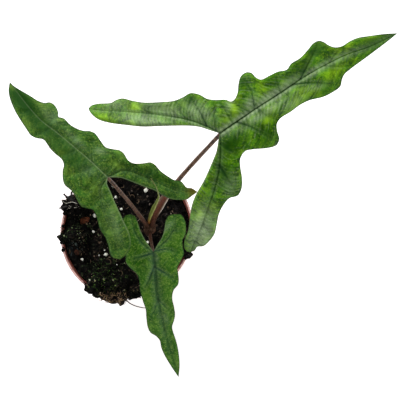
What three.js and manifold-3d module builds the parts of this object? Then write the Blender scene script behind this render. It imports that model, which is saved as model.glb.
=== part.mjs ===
// A young arrow-leaved alocasia, rooted in potting mix in a round nursery pot.
// Millimetres, +Z up. The origin is the centre of the pot's underside, on the surface it stands on.
// The plant has three leaves and one leaf that is still rolled up. A blade is a thin curved sheet
// between ribs and waved margins, and a petiole carries it from the crown of the rootstock.

import * as THREE from "three";
import { mergeVertices } from "three/addons/utils/BufferGeometryUtils.js";
import Module from "manifold-3d";

const wasm = await Module();
wasm.setup();

// Clearance between pieces that touch
const GAP = 0.3;

// The pot: a thin tapered wall, a flat floor with drain holes and an upright band round the mouth.
// It is moulded round, and the root ball presses the wall slightly out of round.
const POT = {
  height: 105,
  footRadius: 43,
  shoulderRadius: 58.2,
  bandHeight: 8,
  bandStep: 1,
  lipRadius: 60,
  lipThickness: 1.8,
  lipRound: 0.5,
  wall: 1.2,
  floor: 2,
  footBevel: 2,
  drainHoles: 8,
  drainRadius: 4,
  drainCircle: 31,
  sides: 48,
  longAxisBearing: 54,
  stretch: [1.035, 0.99],
};

// The potting mix: its surface level, the mound at the crown, and the long lumps of the surface as
// [wavelength, direction in degrees, height, phase]
const MIX = {
  surface: 94.5,
  mound: 6,
  moundReach: 20,
  ringStep: 6,
  sides: 48,
  lumps: [
    [46, 20, 0.9, 0.4],
    [31, 105, 0.8, 2.1],
    [23, 62, 0.6, 4.4],
    [17, 150, 0.5, 1.3],
    [13, 8, 0.4, 5.2],
  ],
};

// Lumps of mix that lie across the lip, centred a little under its top: direction from the pot's
// centre, distance out, and size as [radial, sideways, upward] half lengths
const SPILLS = {
  seed: 21,
  roughness: 0.1,
  depth: 3,
  placed: [
    { bearing: -119, out: 53, size: [12.5, 10, 8] },
    { bearing: -105, out: 54, size: [12, 11, 8.5] },
    { bearing: -94, out: 56, size: [11.5, 6.5, 8] },
    { bearing: 183, out: 51, size: [12.5, 8.5, 8] },
    { bearing: 154, out: 53, size: [13.5, 8.5, 8.5] },
    { bearing: -20, out: 55, size: [9.5, 5.5, 8] },
  ],
};

// A thin dead root that sticks out of the spill in front
const STRAY_ROOT = {
  points: [[-5, -56, 107], [3, -65, 107.5], [14.5, -69, 106.5], [25.5, -69, 106.5]],
  radius: 0.6,
  steps: 10,
  sides: 6,
};

// White perlite grains, sunk into the mix: the large ones in plain view, then small ones at random
const PERLITE = {
  seed: 7,
  roughness: 0.12,
  scattered: 20,
  radii: [1.1, 1.8],
  reach: 52,
  placed: [
    [17, 37.5, 2.3],
    [-10.8, 31.1, 1.7],
    [-5.5, 20.2, 1.6],
    [-29.9, 14, 1.9],
    [-30.9, -0.6, 1.6],
    [-20.4, -21.7, 2],
    [-43.7, -25.9, 1.7],
    [18.7, -9.7, 1.6],
  ],
};

// Loose bits of bark on the mix: place, turn in degrees and half lengths
const BARK = {
  seed: 5,
  roughness: 0.14,
  chips: [
    { name: "bark_chip_1", at: [-39.1, 10.4], turn: 25, size: [4.8, 3.5, 1.7] },
    { name: "bark_chip_2", at: [-46.3, -18.6], turn: -50, size: [3.8, 2.4, 1.5] },
  ],
};

// The rootstock: a crown above the mix, a corm below it and roots that spread from the corm. Each
// root starts inside the corm, bends outward below it and ends deep in the mix.
const ROOTSTOCK = {
  centre: [20.5, 2.4],
  // heights with the radius there, from the corm's underside to the top of the crown
  profile: [[60, 3], [64, 8], [72, 10.5], [82, 9.5], [92, 7.8], [100, 6.4], [107, 5.2], [117, 3.8]],
  sides: 14,
  roots: {
    count: 6,
    start: { out: 5, z: 72 },
    bend: { out: 15.6, z: 62 },
    end: { out: 26, z: 28 },
    turns: [0, 12, -8],
    uneven: { turn: 20, depth: 6 },
    drift: [-7, -1],
    radii: [1.9, 0.9],
    steps: 6,
    sides: 5,
  },
};

// How a blade is built: gap between stations on a margin, steps from rib to margin, thickness at the
// margin, extra thickness of the rib at the petiole, how far a rib reaches sideways, and the relief
const BLADE = {
  stationGap: 4.4,
  across: [0, 0.14, 0.5, 1],
  edge: 1,
  ribExtra: 2.4,
  ribReach: 3,
  fold: 0.1,
  puff: 0.26,
  wave: 0.55,
  waveWindow: 22,
  waveLimit: 4,
  waveFade: 16,
};

// How a petiole is built: where its top lies ahead of the end of the midrib, and where along it the
// open sheath is widest and how far that reaches, as shares of its length
const PETIOLE = {
  seat: 2.2,
  sheathAt: 0.32,
  sheathReach: 0.13,
  steps: 16,
  sides: 8,
};

// The leaves. A blade's own frame has its origin where the midrib meets the petiole, x along the
// midrib to the tip and y to the left. Every outline is a smooth curve through points in that frame.
// Midribs and margins start at the tip: "fore" runs back to the waist beside the petiole, "lobe" from
// there to the tip of the basal lobe. Basal ribs and the margins of the notch start at the petiole.
const LEAVES = [
  {
    name: "left",
    base: [-9.9, 47.2, 205],
    heading: 136.4,
    tilt: 6,
    bendAlong: 300,
    bendAcross: 100,
    midrib: [[119, 0], [97.5, 3], [75.5, 4.5], [57, 2.5], [37, 1], [17.5, 0], [0, 0]],
    sides: [
      {
        turn: 1,
        rib: [[0, 0], [-2.5, 10.5], [-13, 19], [-26, 26], [-42, 33], [-54, 42.5]],
        fore: [
          [119, 0], [114.5, 5.5], [108, 10], [98, 14], [88, 16.5], [78, 18.5], [72.5, 19.5], [67, 18],
          [61, 14.5], [51.5, 16], [45, 16], [38, 15.5], [33.5, 17.5], [30.5, 22.5], [23, 29], [14, 29],
        ],
        lobe: [
          [7, 30.5], [-0.5, 32.5], [-6, 30], [-10, 27.5], [-16, 30], [-25, 35.5], [-32.5, 37.5],
          [-39.5, 41], [-45, 45], [-49, 45.5], [-54, 42.5],
        ],
        notch: [
          [0, 0], [-3.5, 4], [-9.5, 6.5], [-20, 11], [-32.5, 16], [-45, 21], [-51.5, 26],
          [-54.5, 32.5], [-55, 38], [-54, 42.5],
        ],
      },
      {
        turn: -1,
        rib: [[0, 0], [-6, -13.5], [-20, -20.5], [-35, -26], [-50, -32], [-62, -42.5]],
        fore: [
          [119, 0], [114.5, 0], [106.5, -1.5], [96, -4], [88.5, -5.5], [83, -8], [80, -11.5],
          [75, -12.5], [68.5, -10.5], [65.5, -8], [61, -10], [54, -10], [48.5, -11], [41.5, -14],
          [37.5, -17.5], [33, -19], [26, -18], [18.5, -17], [13, -20],
        ],
        lobe: [
          [8.5, -23], [4, -23.5], [-3, -22], [-8, -23.5], [-13.5, -29], [-17, -33.5], [-21, -34.5],
          [-28, -34], [-35.5, -35], [-41.5, -36.5], [-46, -39.5], [-53, -39], [-56.5, -41.5],
          [-62, -42.5],
        ],
        notch: [
          [0, 0], [-8, -7], [-15.5, -10.5], [-28, -15.5], [-36, -19], [-43.5, -20.5], [-50, -23],
          [-56, -27.5], [-60, -32], [-61, -37], [-62, -42.5],
        ],
      },
    ],
    petiole: {
      foot: [17.9, 3, 104],
      leave: [14.8, 12.8, 131],
      arrive: [3.6, 30.3, 170],
      radii: [2.1, 1.5],
      sheath: 0.3,
    },
  },
  {
    name: "right",
    base: [81.8, 80.4, 262],
    heading: 30.2,
    tilt: 8,
    bendAlong: 385,
    bendAcross: 112,
    midrib: [
      [171.5, 0], [143.5, 1.5], [120.5, 5], [96.5, 6], [77, 5.5], [57.5, 4], [38.5, 3], [19, 1.5], [0, 0],
    ],
    sides: [
      {
        turn: 1,
        rib: [[0, 0], [-7, 11], [-16, 21.5], [-33, 36], [-52, 50], [-68.5, 61.5], [-79.5, 70]],
        fore: [
          [171.5, 0], [161, 4.5], [148.5, 9], [137.5, 12.5], [129.5, 13], [122, 12.5], [116, 14.5],
          [112.5, 18.5], [110.8, 22.5], [108, 25.5], [103, 26], [94.5, 23], [86.5, 20.5], [77.5, 20],
          [71.5, 17.5], [65, 19.5], [57, 20], [49.5, 20.5], [47, 24], [46, 29], [43, 31.5], [37.5, 31],
          [32.5, 26.5], [28, 20.5], [23, 17], [20, 17], [17, 20.5], [10, 24.5],
        ],
        lobe: [
          [5, 28.5], [1.5, 34.5], [-4, 39], [-10.5, 39], [-18, 40], [-26.5, 44], [-39, 51],
          [-46.5, 57.5], [-52, 63], [-57, 64.5], [-61.5, 64.5], [-71, 69.5], [-76.5, 71], [-79.5, 70],
        ],
        notch: [
          [0, 0], [-6, 6.5], [-11, 12], [-17, 16.5], [-29, 23.5], [-39, 29], [-49, 34.5],
          [-60.5, 43], [-71, 51.5], [-77, 58.5], [-79.5, 66], [-79.5, 70],
        ],
      },
      {
        turn: -1,
        rib: [
          [0, 0], [-6, -11.5], [-15, -24.5], [-26, -36], [-38.5, -46.5], [-49.5, -56], [-61.5, -64.5],
          [-67, -69],
        ],
        fore: [
          [171.5, 0], [162.5, -1.5], [139.5, -4.5], [118, -7], [111, -8.5], [107.5, -11], [103.5, -15],
          [96, -16], [86.5, -15.5], [75, -12.5], [66.5, -12], [57.5, -13], [47.5, -13.5],
          [42.5, -16], [40, -21], [38.5, -27], [34.5, -30], [28, -29], [15.5, -23.5], [10, -22],
        ],
        lobe: [
          [4, -25], [1, -30], [-2.5, -39], [-6.5, -45.5], [-12, -49], [-19, -47.5], [-26, -50],
          [-32, -54], [-36.5, -59], [-43, -66], [-49.5, -69], [-55.5, -70], [-60, -68], [-63, -69.5],
          [-67, -69],
        ],
        notch: [
          [0, 0], [-4, -4.5], [-9, -10.5], [-18.5, -18], [-29, -25.5], [-41, -32.5], [-47.5, -38],
          [-52.5, -44], [-59.5, -53], [-66, -58.5], [-69, -63], [-69, -66.5], [-67, -69],
        ],
      },
    ],
    petiole: {
      foot: [23, 4.1, 104],
      leave: [28.6, 28.8, 146],
      arrive: [55, 52.5, 205],
      radii: [2.3, 1.6],
      sheath: 1.9,
    },
  },
  {
    name: "front",
    base: [26.4, -15.9, 166],
    heading: -79.6,
    tilt: 9,
    bendAlong: 270,
    bendAcross: 110,
    midrib: [
      [115.5, 0], [88.5, -2.5], [68.5, -3.5], [50, -4], [33, -3.5], [15.5, -1.5], [0, 0],
    ],
    sides: [
      {
        turn: 1,
        rib: [[0, 0], [-4.5, 8], [-10.5, 16], [-18.5, 22], [-28.5, 24]],
        fore: [
          [115.5, 0], [105, 3], [93, 4.5], [81.5, 4.5], [72.5, 3.5], [68, 3.5], [63, 6], [58, 8],
          [51, 8.5], [42.5, 8.5], [36, 11], [32, 15.5], [28, 17], [22, 17.5], [17, 18], [11.5, 22],
        ],
        lobe: [
          [6, 25.5], [-0.5, 25.5], [-5.5, 26.5], [-9, 29.5], [-14, 31], [-21, 31.5], [-27, 29],
          [-28.5, 24],
        ],
        notch: [
          [0, 0], [-6, 5], [-11, 9.5], [-16.5, 12.5], [-23.5, 15], [-28, 18.5], [-28.5, 24],
        ],
      },
      {
        turn: -1,
        rib: [[0, 0], [-5.5, -5.5], [-14, -10.5], [-24, -13], [-35, -13]],
        fore: [
          [115.5, 0], [105, -4], [93, -8], [85, -9.5], [78, -9.5], [73.5, -12], [70, -16],
          [65, -17.5], [56, -17], [48, -16], [40.5, -17], [31, -17.5], [20, -16.5], [15.5, -18],
          [10, -22.5],
        ],
        lobe: [
          [4.5, -25], [-0.5, -24], [-7.5, -22.5], [-16, -22.5], [-25, -23], [-31.5, -21],
          [-35, -17.5], [-35, -13],
        ],
        notch: [
          [0, 0], [-7, -3], [-13, -5.5], [-20.5, -7.5], [-27.5, -8.5], [-33, -10], [-35, -13],
        ],
      },
    ],
    petiole: {
      foot: [21, -0.6, 104],
      leave: [21.6, -4.2, 125],
      arrive: [24.6, -11.4, 150],
      radii: [1.9, 1.5],
      sheath: 0.2,
    },
  },
];

// The rolled leaf: points of its path with the radius at each, from the crown to the thread-like tip
const NEW_LEAF = {
  path: [
    [20.1, 6.6, 104], [21.4, 11.5, 127], [25.5, 20.7, 150], [28.9, 26, 171], [31.7, 30.4, 193],
    [32.2, 33, 208], [31.2, 37.6, 215], [26.6, 46, 222],
  ],
  radii: [1.1, 1.6, 1.8, 2.1, 1.5, 1.1, 0.8, 0.45],
  sides: 8,
  steps: 26,
};

const COLOURS = {
  pot: 0xb5675d,
  mix: 0x1d1916,
  rootstock: 0x5b3f35,
  petiole: 0x6a4a44,
  blade: 0x46762f,
  newLeaf: 0x9aa152,
  bark: 0x6b3a26,
};

const toRadians = THREE.MathUtils.degToRad;

// Solids and geometry

// A closed geometry as a solid that can be joined and cut.
function solidOf(geometry) {
  const bare = new THREE.BufferGeometry();
  bare.setAttribute("position", geometry.getAttribute("position"));
  bare.setIndex(geometry.index);
  const merged = mergeVertices(bare, 1e-4);
  const corners = merged.index.array;
  const kept = [];
  for (let i = 0; i < corners.length; i += 3) {
    const [a, b, c] = corners.slice(i, i + 3);
    if (a !== b && b !== c && c !== a) kept.push(a, b, c);
  }
  return new wasm.Manifold(
    new wasm.Mesh({
      numProp: 3,
      vertProperties: merged.attributes.position.array,
      triVerts: new Uint32Array(kept),
    }),
  );
}

// A solid as a geometry that a mesh can hold.
function geometryOf(solid) {
  const mesh = solid.getMesh();
  const geometry = new THREE.BufferGeometry();
  geometry.setAttribute("position", new THREE.BufferAttribute(mesh.vertProperties, 3));
  geometry.setIndex(new THREE.BufferAttribute(mesh.triVerts, 1));
  geometry.computeVertexNormals();
  return geometry;
}

// The largest body of a solid, so that crumbs left by a cut are dropped.
function mainBody(solid) {
  const bodies = solid.decompose();
  return bodies.reduce((most, body) => (body.volume() > most.volume() ? body : most));
}

// A skin over rings of points that run anticlockwise about the way they follow each other; each end
// is closed on the middle of its ring.
function skin(rings) {
  const count = rings[0].length;
  const vertices = rings.flat();
  const triangles = [];
  for (let r = 0; r + 1 < rings.length; r++) {
    for (let k = 0; k < count; k++) {
      const here = r * count + k;
      const beside = r * count + ((k + 1) % count);
      triangles.push(here, beside, beside + count);
      triangles.push(here, beside + count, here + count);
    }
  }
  const middle = (ring) =>
    ring.reduce((sum, p) => sum.add(p), new THREE.Vector3()).divideScalar(ring.length);
  const last = (rings.length - 1) * count;
  const startPole = vertices.push(middle(rings[0])) - 1;
  const endPole = vertices.push(middle(rings.at(-1))) - 1;
  for (let k = 0; k < count; k++) {
    const beside = (k + 1) % count;
    triangles.push(startPole, beside, k);
    triangles.push(endPole, last + k, last + beside);
  }
  return indexedGeometry(vertices, triangles);
}

function indexedGeometry(vertices, triangles) {
  const geometry = new THREE.BufferGeometry();
  geometry.setFromPoints(vertices);
  geometry.setIndex(triangles);
  return geometry;
}

// A level ring of points round the Z axis or round a given centre.
function levelRing(sides, radius, z, centre = [0, 0]) {
  return Array.from({ length: sides }, (_, k) => {
    const angle = (2 * Math.PI * k) / sides;
    const x = centre[0] + radius * Math.cos(angle);
    const y = centre[1] + radius * Math.sin(angle);
    return new THREE.Vector3(x, y, z);
  });
}

// A tube along a curve; halfSizes(t) gives its half width and half depth there.
function tube(curve, steps, sides, halfSizes) {
  const frames = curve.computeFrenetFrames(steps, false);
  const rings = [];
  for (let i = 0; i <= steps; i++) {
    const t = i / steps;
    const centre = curve.getPointAt(t);
    const [width, depth] = halfSizes(t);
    // the width lies level, across the way the curve runs
    const level = new THREE.Vector3(0, 0, 1).cross(frames.tangents[i]).normalize();
    const upward = frames.tangents[i].clone().cross(level);
    rings.push(
      Array.from({ length: sides }, (_, k) => {
        const angle = (2 * Math.PI * k) / sides;
        return centre
          .clone()
          .addScaledVector(level, width * Math.cos(angle))
          .addScaledVector(upward, depth * Math.sin(angle));
      }),
    );
  }
  return skin(rings);
}

// Repeatable random numbers from 0 to 1.
function seededRandom(seed) {
  let state = seed;
  return () => {
    state = (state + 0x6d2b79f5) | 0;
    let t = Math.imul(state ^ (state >>> 15), 1 | state);
    t = (t + Math.imul(t ^ (t >>> 7), 61 | t)) ^ t;
    return ((t ^ (t >>> 14)) >>> 0) / 4294967296;
  };
}

const vectors = (points) => points.map(([x, y, z = 0]) => new THREE.Vector3(x, y, z));

const bearingPoint = (bearing, out, z) => {
  const angle = toRadians(bearing);
  return new THREE.Vector3(out * Math.cos(angle), out * Math.sin(angle), z);
};

// Blades

// Points at equal distances along a smooth curve through the given points, between two of them.
function stations(points, count, first = 0, last = points.length - 1) {
  const curve = new THREE.CatmullRomCurve3(vectors(points), false, "centripetal");
  const fine = 12 * (last - first);
  const dense = Array.from({ length: fine + 1 }, (_, i) =>
    curve.getPoint((first + ((last - first) * i) / fine) / (points.length - 1)),
  );
  const walked = [0];
  for (let i = 1; i <= fine; i++) walked.push(walked[i - 1] + dense[i].distanceTo(dense[i - 1]));
  const picked = [];
  let at = 0;
  for (let k = 0; k <= count; k++) {
    const goal = (walked[fine] * k) / count;
    while (at < fine - 1 && walked[at + 1] < goal) at++;
    const share = (goal - walked[at]) / (walked[at + 1] - walked[at]);
    picked.push(dense[at].clone().lerp(dense[at + 1], Math.min(1, share)));
  }
  return picked;
}

function lengthOf(points) {
  return new THREE.CatmullRomCurve3(vectors(points), false, "centripetal").getLength();
}

// How far each station of a margin is lifted: notches rise and bulges droop, by how much narrower
// the blade is there than its mean over a stretch of the margin, fading out at both ends.
function marginLifts(margin, rib) {
  const widths = margin.map((p, i) => p.distanceTo(rib[i]));
  const reach = Math.round(BLADE.waveWindow / BLADE.stationGap);
  const fade = BLADE.waveFade / BLADE.stationGap;
  return widths.map((width, i) => {
    const near = widths.slice(Math.max(0, i - reach), i + reach + 1);
    const mean = near.reduce((sum, w) => sum + w, 0) / near.length;
    const lift = THREE.MathUtils.clamp(BLADE.wave * (mean - width), -BLADE.waveLimit, BLADE.waveLimit);
    return lift * Math.min(1, i / fade, (widths.length - 1 - i) / fade);
  });
}

// The patches of a blade. Each one spans a rib and a margin, with as many stations on both.
function patchesOf(leaf) {
  const countFor = (length) => Math.ceil(length / BLADE.stationGap);
  const foreCount = Math.max(
    ...leaf.sides.map((side) => countFor(lengthOf([...side.fore, side.lobe[0]]))),
  );
  const midrib = stations(leaf.midrib, foreCount);
  const fromTip = midrib.map((_, i) => 1 - i / foreCount);
  return leaf.sides.flatMap((side) => {
    const lobeCount = countFor(Math.max(lengthOf(side.lobe), lengthOf(side.notch)));
    const outer = [...side.fore, ...side.lobe];
    const waist = side.fore.length - 1;
    const fore = stations(outer, foreCount, 0, waist);
    const lobe = stations(outer, lobeCount, waist);
    const rib = stations(side.rib, lobeCount);
    const fromBase = rib.map((_, i) => i / lobeCount);
    const notch = stations(side.notch, lobeCount);
    const lifts = marginLifts([...fore, ...lobe.slice(1)], [...midrib, ...rib.slice(1)]);
    return [
      { rib: midrib, margin: fore, share: fromTip, lifts: lifts.slice(0, foreCount + 1), turn: -side.turn },
      { rib, margin: lobe, share: fromBase, lifts: lifts.slice(foreCount), turn: -side.turn },
      { rib, margin: notch, share: fromBase, lifts: notch.map(() => 0), turn: side.turn },
    ];
  });
}

// The height of a blade's upper face over its origin: it falls away from the petiole and bends down
// both along and across, each half folds up from its rib and bulges between rib and margin.
function bladeHeight(leaf, point, width, across, lift) {
  const fall = point.x * Math.tan(toRadians(leaf.tilt));
  const bend = point.x ** 2 / (2 * leaf.bendAlong) + point.y ** 2 / (2 * leaf.bendAcross);
  const relief = width * (BLADE.fold * across + BLADE.puff * across * (1 - across));
  return relief + lift * across ** 2 - fall - bend;
}

// A blade as a closed geometry in its own frame, with extra clearance on its underside if asked.
function bladeGeometry(leaf, clearance = 0) {
  const vertices = [];
  const triangles = [];
  for (const patch of patchesOf(leaf)) {
    const row = BLADE.across.length;
    const start = vertices.length;
    patch.rib.forEach((onRib, i) => {
      const width = onRib.distanceTo(patch.margin[i]);
      for (const across of BLADE.across) {
        const top = onRib.clone().lerp(patch.margin[i], across);
        top.z = bladeHeight(leaf, top, width, across, patch.lifts[i]);
        const ribPart = Math.max(0, 1 - (across * width) / BLADE.ribReach);
        const thickness = BLADE.edge + BLADE.ribExtra * (1 - patch.share[i]) * ribPart + clearance;
        vertices.push(top, top.clone().setZ(top.z - thickness));
      }
    });
    const facet = (a, b, c) => triangles.push(...(patch.turn > 0 ? [a, b, c] : [a, c, b]));
    for (let i = 0; i + 1 < patch.rib.length; i++) {
      for (let j = 0; j + 1 < row; j++) {
        const here = start + 2 * (i * row + j);
        const beside = here + 2;
        const ahead = here + 2 * row;
        facet(here, ahead, ahead + 2);
        facet(here, ahead + 2, beside);
        facet(here + 1, ahead + 3, ahead + 1);
        facet(here + 1, beside + 1, ahead + 3);
      }
      const edge = start + 2 * (i * row + row - 1);
      const edgeAhead = edge + 2 * row;
      facet(edge, edgeAhead, edgeAhead + 1);
      facet(edge, edgeAhead + 1, edge + 1);
    }
  }
  return indexedGeometry(vertices, triangles);
}

function placeBlade(object, leaf) {
  object.position.set(...leaf.base);
  object.rotation.z = toRadians(leaf.heading);
  return object;
}

// Petioles and the rolled leaf

function petioleCurve(leaf) {
  const { foot, leave, arrive } = leaf.petiole;
  const forward = bearingPoint(leaf.heading, PETIOLE.seat, 0);
  const sink = PETIOLE.seat * Math.tan(toRadians(leaf.tilt)) + (BLADE.edge + BLADE.ribExtra) / 2;
  const top = new THREE.Vector3(...leaf.base).add(forward);
  top.z -= sink;
  return new THREE.CubicBezierCurve3(...vectors([foot, leave, arrive]), top);
}

// A petiole tapers to its blade; its open sheath makes it wider and flatter in the lower half.
function petioleGeometry(leaf, clearance = 0) {
  const { radii, sheath } = leaf.petiole;
  return tube(petioleCurve(leaf), PETIOLE.steps, PETIOLE.sides, (t) => {
    const radius = THREE.MathUtils.lerp(radii[0], radii[1], t) + clearance;
    const sheathPart = Math.exp(-(((t - PETIOLE.sheathAt) / PETIOLE.sheathReach) ** 2));
    return [radius + sheath * sheathPart, radius];
  });
}

function newLeafGeometry(clearance = 0) {
  const curve = new THREE.CatmullRomCurve3(vectors(NEW_LEAF.path), false, "centripetal");
  const last = NEW_LEAF.radii.length - 1;
  return tube(curve, NEW_LEAF.steps, NEW_LEAF.sides, (t) => {
    const at = Math.min(last - 1, Math.floor(t * last));
    const radius = THREE.MathUtils.lerp(NEW_LEAF.radii[at], NEW_LEAF.radii[at + 1], t * last - at);
    return [radius + clearance, radius + clearance];
  });
}

// The rootstock

// One root: a tube from the corm that bends outward and then down, each with a turn of its own.
function rootSolid(index, clearance) {
  const { count, start, bend, end, turns, uneven, drift, radii, steps, sides } = ROOTSTOCK.roots;
  const bearing = (360 * index) / count + uneven.turn * Math.sin(2.4 * index);
  const deeper = uneven.depth * Math.cos(3 * index);
  const path = [
    bearingPoint(bearing + turns[0], start.out, start.z),
    bearingPoint(bearing + turns[1], bend.out, bend.z),
    bearingPoint(bearing + turns[2], end.out, end.z + deeper).add(new THREE.Vector3(...drift, 0)),
  ];
  path[2].addScaledVector(path[2].clone().sub(path[1]).normalize(), clearance);
  const crown = new THREE.Vector3(...ROOTSTOCK.centre, 0);
  const curve = new THREE.QuadraticBezierCurve3(...path.map((p) => p.add(crown)));
  return solidOf(
    tube(curve, steps, sides, (t) => {
      const radius = THREE.MathUtils.lerp(radii[0], radii[1], t) + clearance;
      return [radius, radius];
    }),
  );
}

function rootstockSolid(clearance = 0) {
  const { centre, profile, sides, roots } = ROOTSTOCK;
  const rings = profile.map(([z, radius], i) => {
    const end = i === 0 ? -clearance : i === profile.length - 1 ? clearance : 0;
    return levelRing(sides, radius + clearance, z + end, centre);
  });
  let solid = solidOf(skin(rings));
  for (let k = 0; k < roots.count; k++) solid = solid.add(rootSolid(k, clearance));
  return solid;
}

// The potting mix

// The inner radius of the pot's wall at a height.
function potInside(z) {
  const bandFoot = POT.height - POT.bandHeight;
  const outer = THREE.MathUtils.mapLinear(z, 0, bandFoot, POT.footRadius, POT.shoulderRadius);
  const mouth = POT.lipRadius - POT.lipThickness;
  return z < bandFoot
    ? outer - POT.wall
    : THREE.MathUtils.mapLinear(z, bandFoot, POT.height, POT.shoulderRadius - POT.wall, mouth);
}

// The height of the mix: a mound at the crown and a sum of sine lumps.
function mixHeight(x, y) {
  const fromCrown = Math.hypot(x - ROOTSTOCK.centre[0], y - ROOTSTOCK.centre[1]);
  const mound = MIX.mound * Math.exp(-((fromCrown / MIX.moundReach) ** 2));
  const lumps = MIX.lumps.reduce((sum, [wavelength, bearing, height, phase]) => {
    const along = x * Math.cos(toRadians(bearing)) + y * Math.sin(toRadians(bearing));
    return sum + height * Math.sin((2 * Math.PI * along) / wavelength + phase);
  }, 0);
  return MIX.surface + mound + lumps;
}

function mixBody() {
  const reach = potInside(MIX.surface) - GAP;
  const floor = POT.floor + GAP;
  const rings = [levelRing(MIX.sides, potInside(floor) - GAP, floor)];
  for (let radius = reach; radius > MIX.ringStep / 2; radius -= MIX.ringStep) {
    const ring = levelRing(MIX.sides, radius, 0);
    for (const p of ring) {
      const height = mixHeight(p.x, p.y);
      // where the mix lies low at the wall, the wall is narrower
      const fit = Math.min(1, (potInside(height) - GAP) / radius);
      p.multiplyScalar(fit).setZ(height);
    }
    rings.push(ring);
  }
  return solidOf(skin(rings));
}

// A rough lump: a sphere whose points are pushed in and out at random.
function lump(centre, size, turn, detail, roughness, random) {
  const ball = new THREE.IcosahedronGeometry(1, detail);
  ball.deleteAttribute("normal");
  ball.deleteAttribute("uv");
  const geometry = mergeVertices(ball, 1e-4);
  const position = geometry.getAttribute("position");
  for (let i = 0; i < position.count; i++) {
    const push = 1 + roughness * (2 * random() - 1);
    position.setXYZ(i, position.getX(i) * push, position.getY(i) * push, position.getZ(i) * push);
  }
  geometry.scale(...size).rotateZ(toRadians(turn)).translate(centre.x, centre.y, centre.z);
  return solidOf(geometry);
}

function perliteGrains() {
  const random = seededRandom(PERLITE.seed);
  const grains = [...PERLITE.placed];
  while (grains.length < PERLITE.placed.length + PERLITE.scattered) {
    const out = PERLITE.reach * Math.sqrt(random());
    const angle = 2 * Math.PI * random();
    const radius = THREE.MathUtils.lerp(...PERLITE.radii, random());
    grains.push([out * Math.cos(angle), out * Math.sin(angle), radius]);
  }
  return grains.map(([x, y, radius]) => {
    const size = [radius, radius * (0.8 + 0.2 * random()), radius];
    const centre = new THREE.Vector3(x, y, mixHeight(x, y) + 0.1 * radius);
    return lump(centre, size, 360 * random(), 0, PERLITE.roughness, random);
  });
}

function spillLumps() {
  const random = seededRandom(SPILLS.seed);
  return SPILLS.placed.map(({ bearing, out, size }) => {
    const centre = bearingPoint(bearing, out, POT.height - SPILLS.depth);
    return lump(centre, size, bearing, 1, SPILLS.roughness, random);
  });
}

function strayRoot() {
  const curve = new THREE.CatmullRomCurve3(vectors(STRAY_ROOT.points), false, "centripetal");
  const { radius, steps, sides } = STRAY_ROOT;
  return solidOf(tube(curve, steps, sides, () => [radius, radius]));
}

// Everything that the pot's wall and lip take up, with clearance: the spills keep out of it.
function potSurround() {
  const far = 2 * POT.lipRadius;
  const over = POT.height + GAP;
  const bandFoot = POT.height - POT.bandHeight;
  // the stretch brings the narrow sides closer by a little more than a plain gap
  const clear = 1.5 * GAP;
  const profile = [
    [potInside(0) - clear, 0],
    [far, 0],
    [far, over],
    [potInside(POT.height) - clear, over],
    [potInside(bandFoot) - clear, bandFoot],
    [potInside(0) - clear, 0],
  ];
  return solidOf(lathe(profile, MIX.sides));
}

function mixSolid() {
  const surround = potSurround();
  let solid = mixBody();
  for (const piece of [...spillLumps(), strayRoot()]) solid = solid.add(piece.subtract(surround));
  for (const grain of perliteGrains()) solid = solid.add(grain);
  return mainBody(outOfRound(solid).subtract(rootstockSolid(GAP)));
}

// The pot

// A profile of [radius, height] points, turned round the Z axis.
function lathe(profile, sides) {
  const points = profile.map(([radius, z]) => new THREE.Vector2(radius, z));
  return new THREE.LatheGeometry(points, sides).rotateX(Math.PI / 2);
}

function potSolid() {
  const { height, footRadius, shoulderRadius, bandStep, lipRadius, lipRound, floor } = POT;
  const bandFoot = height - POT.bandHeight;
  const profile = [
    [0, 0],
    [footRadius - POT.footBevel, 0],
    [footRadius, POT.footBevel],
    [shoulderRadius, bandFoot],
    [shoulderRadius + bandStep, bandFoot],
    [lipRadius, height - lipRound],
    [lipRadius - lipRound, height],
    [potInside(height) + lipRound, height],
    [potInside(height), height - lipRound],
    [potInside(bandFoot), bandFoot],
    [potInside(floor), floor],
    [0, floor],
  ];
  let solid = solidOf(lathe(profile, POT.sides));
  for (let k = 0; k < POT.drainHoles; k++) {
    const hole = new THREE.CylinderGeometry(POT.drainRadius, POT.drainRadius, 4 * floor, 16);
    const at = bearingPoint((360 * k) / POT.drainHoles, POT.drainCircle, floor / 2);
    hole.rotateX(Math.PI / 2).translate(at.x, at.y, at.z);
    solid = solid.subtract(solidOf(hole));
  }
  return outOfRound(solid);
}

// A round solid pressed out of round as the pot is.
function outOfRound(solid) {
  const { longAxisBearing, stretch } = POT;
  return solid.rotate([0, 0, -longAxisBearing]).scale([...stretch, 1]).rotate([0, 0, longAxisBearing]);
}

// Loose bark on the mix, each bit seated in the hollow it lies in
function barkSolid(chip, mix, random) {
  const [x, y] = chip.at;
  const centre = new THREE.Vector3(x, y, mixHeight(x, y) + 0.7 * chip.size[2]);
  const piece = lump(centre, chip.size, chip.turn, 1, BARK.roughness, random);
  return mainBody(piece.subtract(mix.translate([0, 0, GAP])));
}

// The scene graph

function mesh(name, geometry, color, roughness) {
  const material = new THREE.MeshStandardMaterial({ color, roughness, metalness: 0 });
  const made = new THREE.Mesh(geometry, material);
  made.name = name;
  return made;
}

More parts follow.
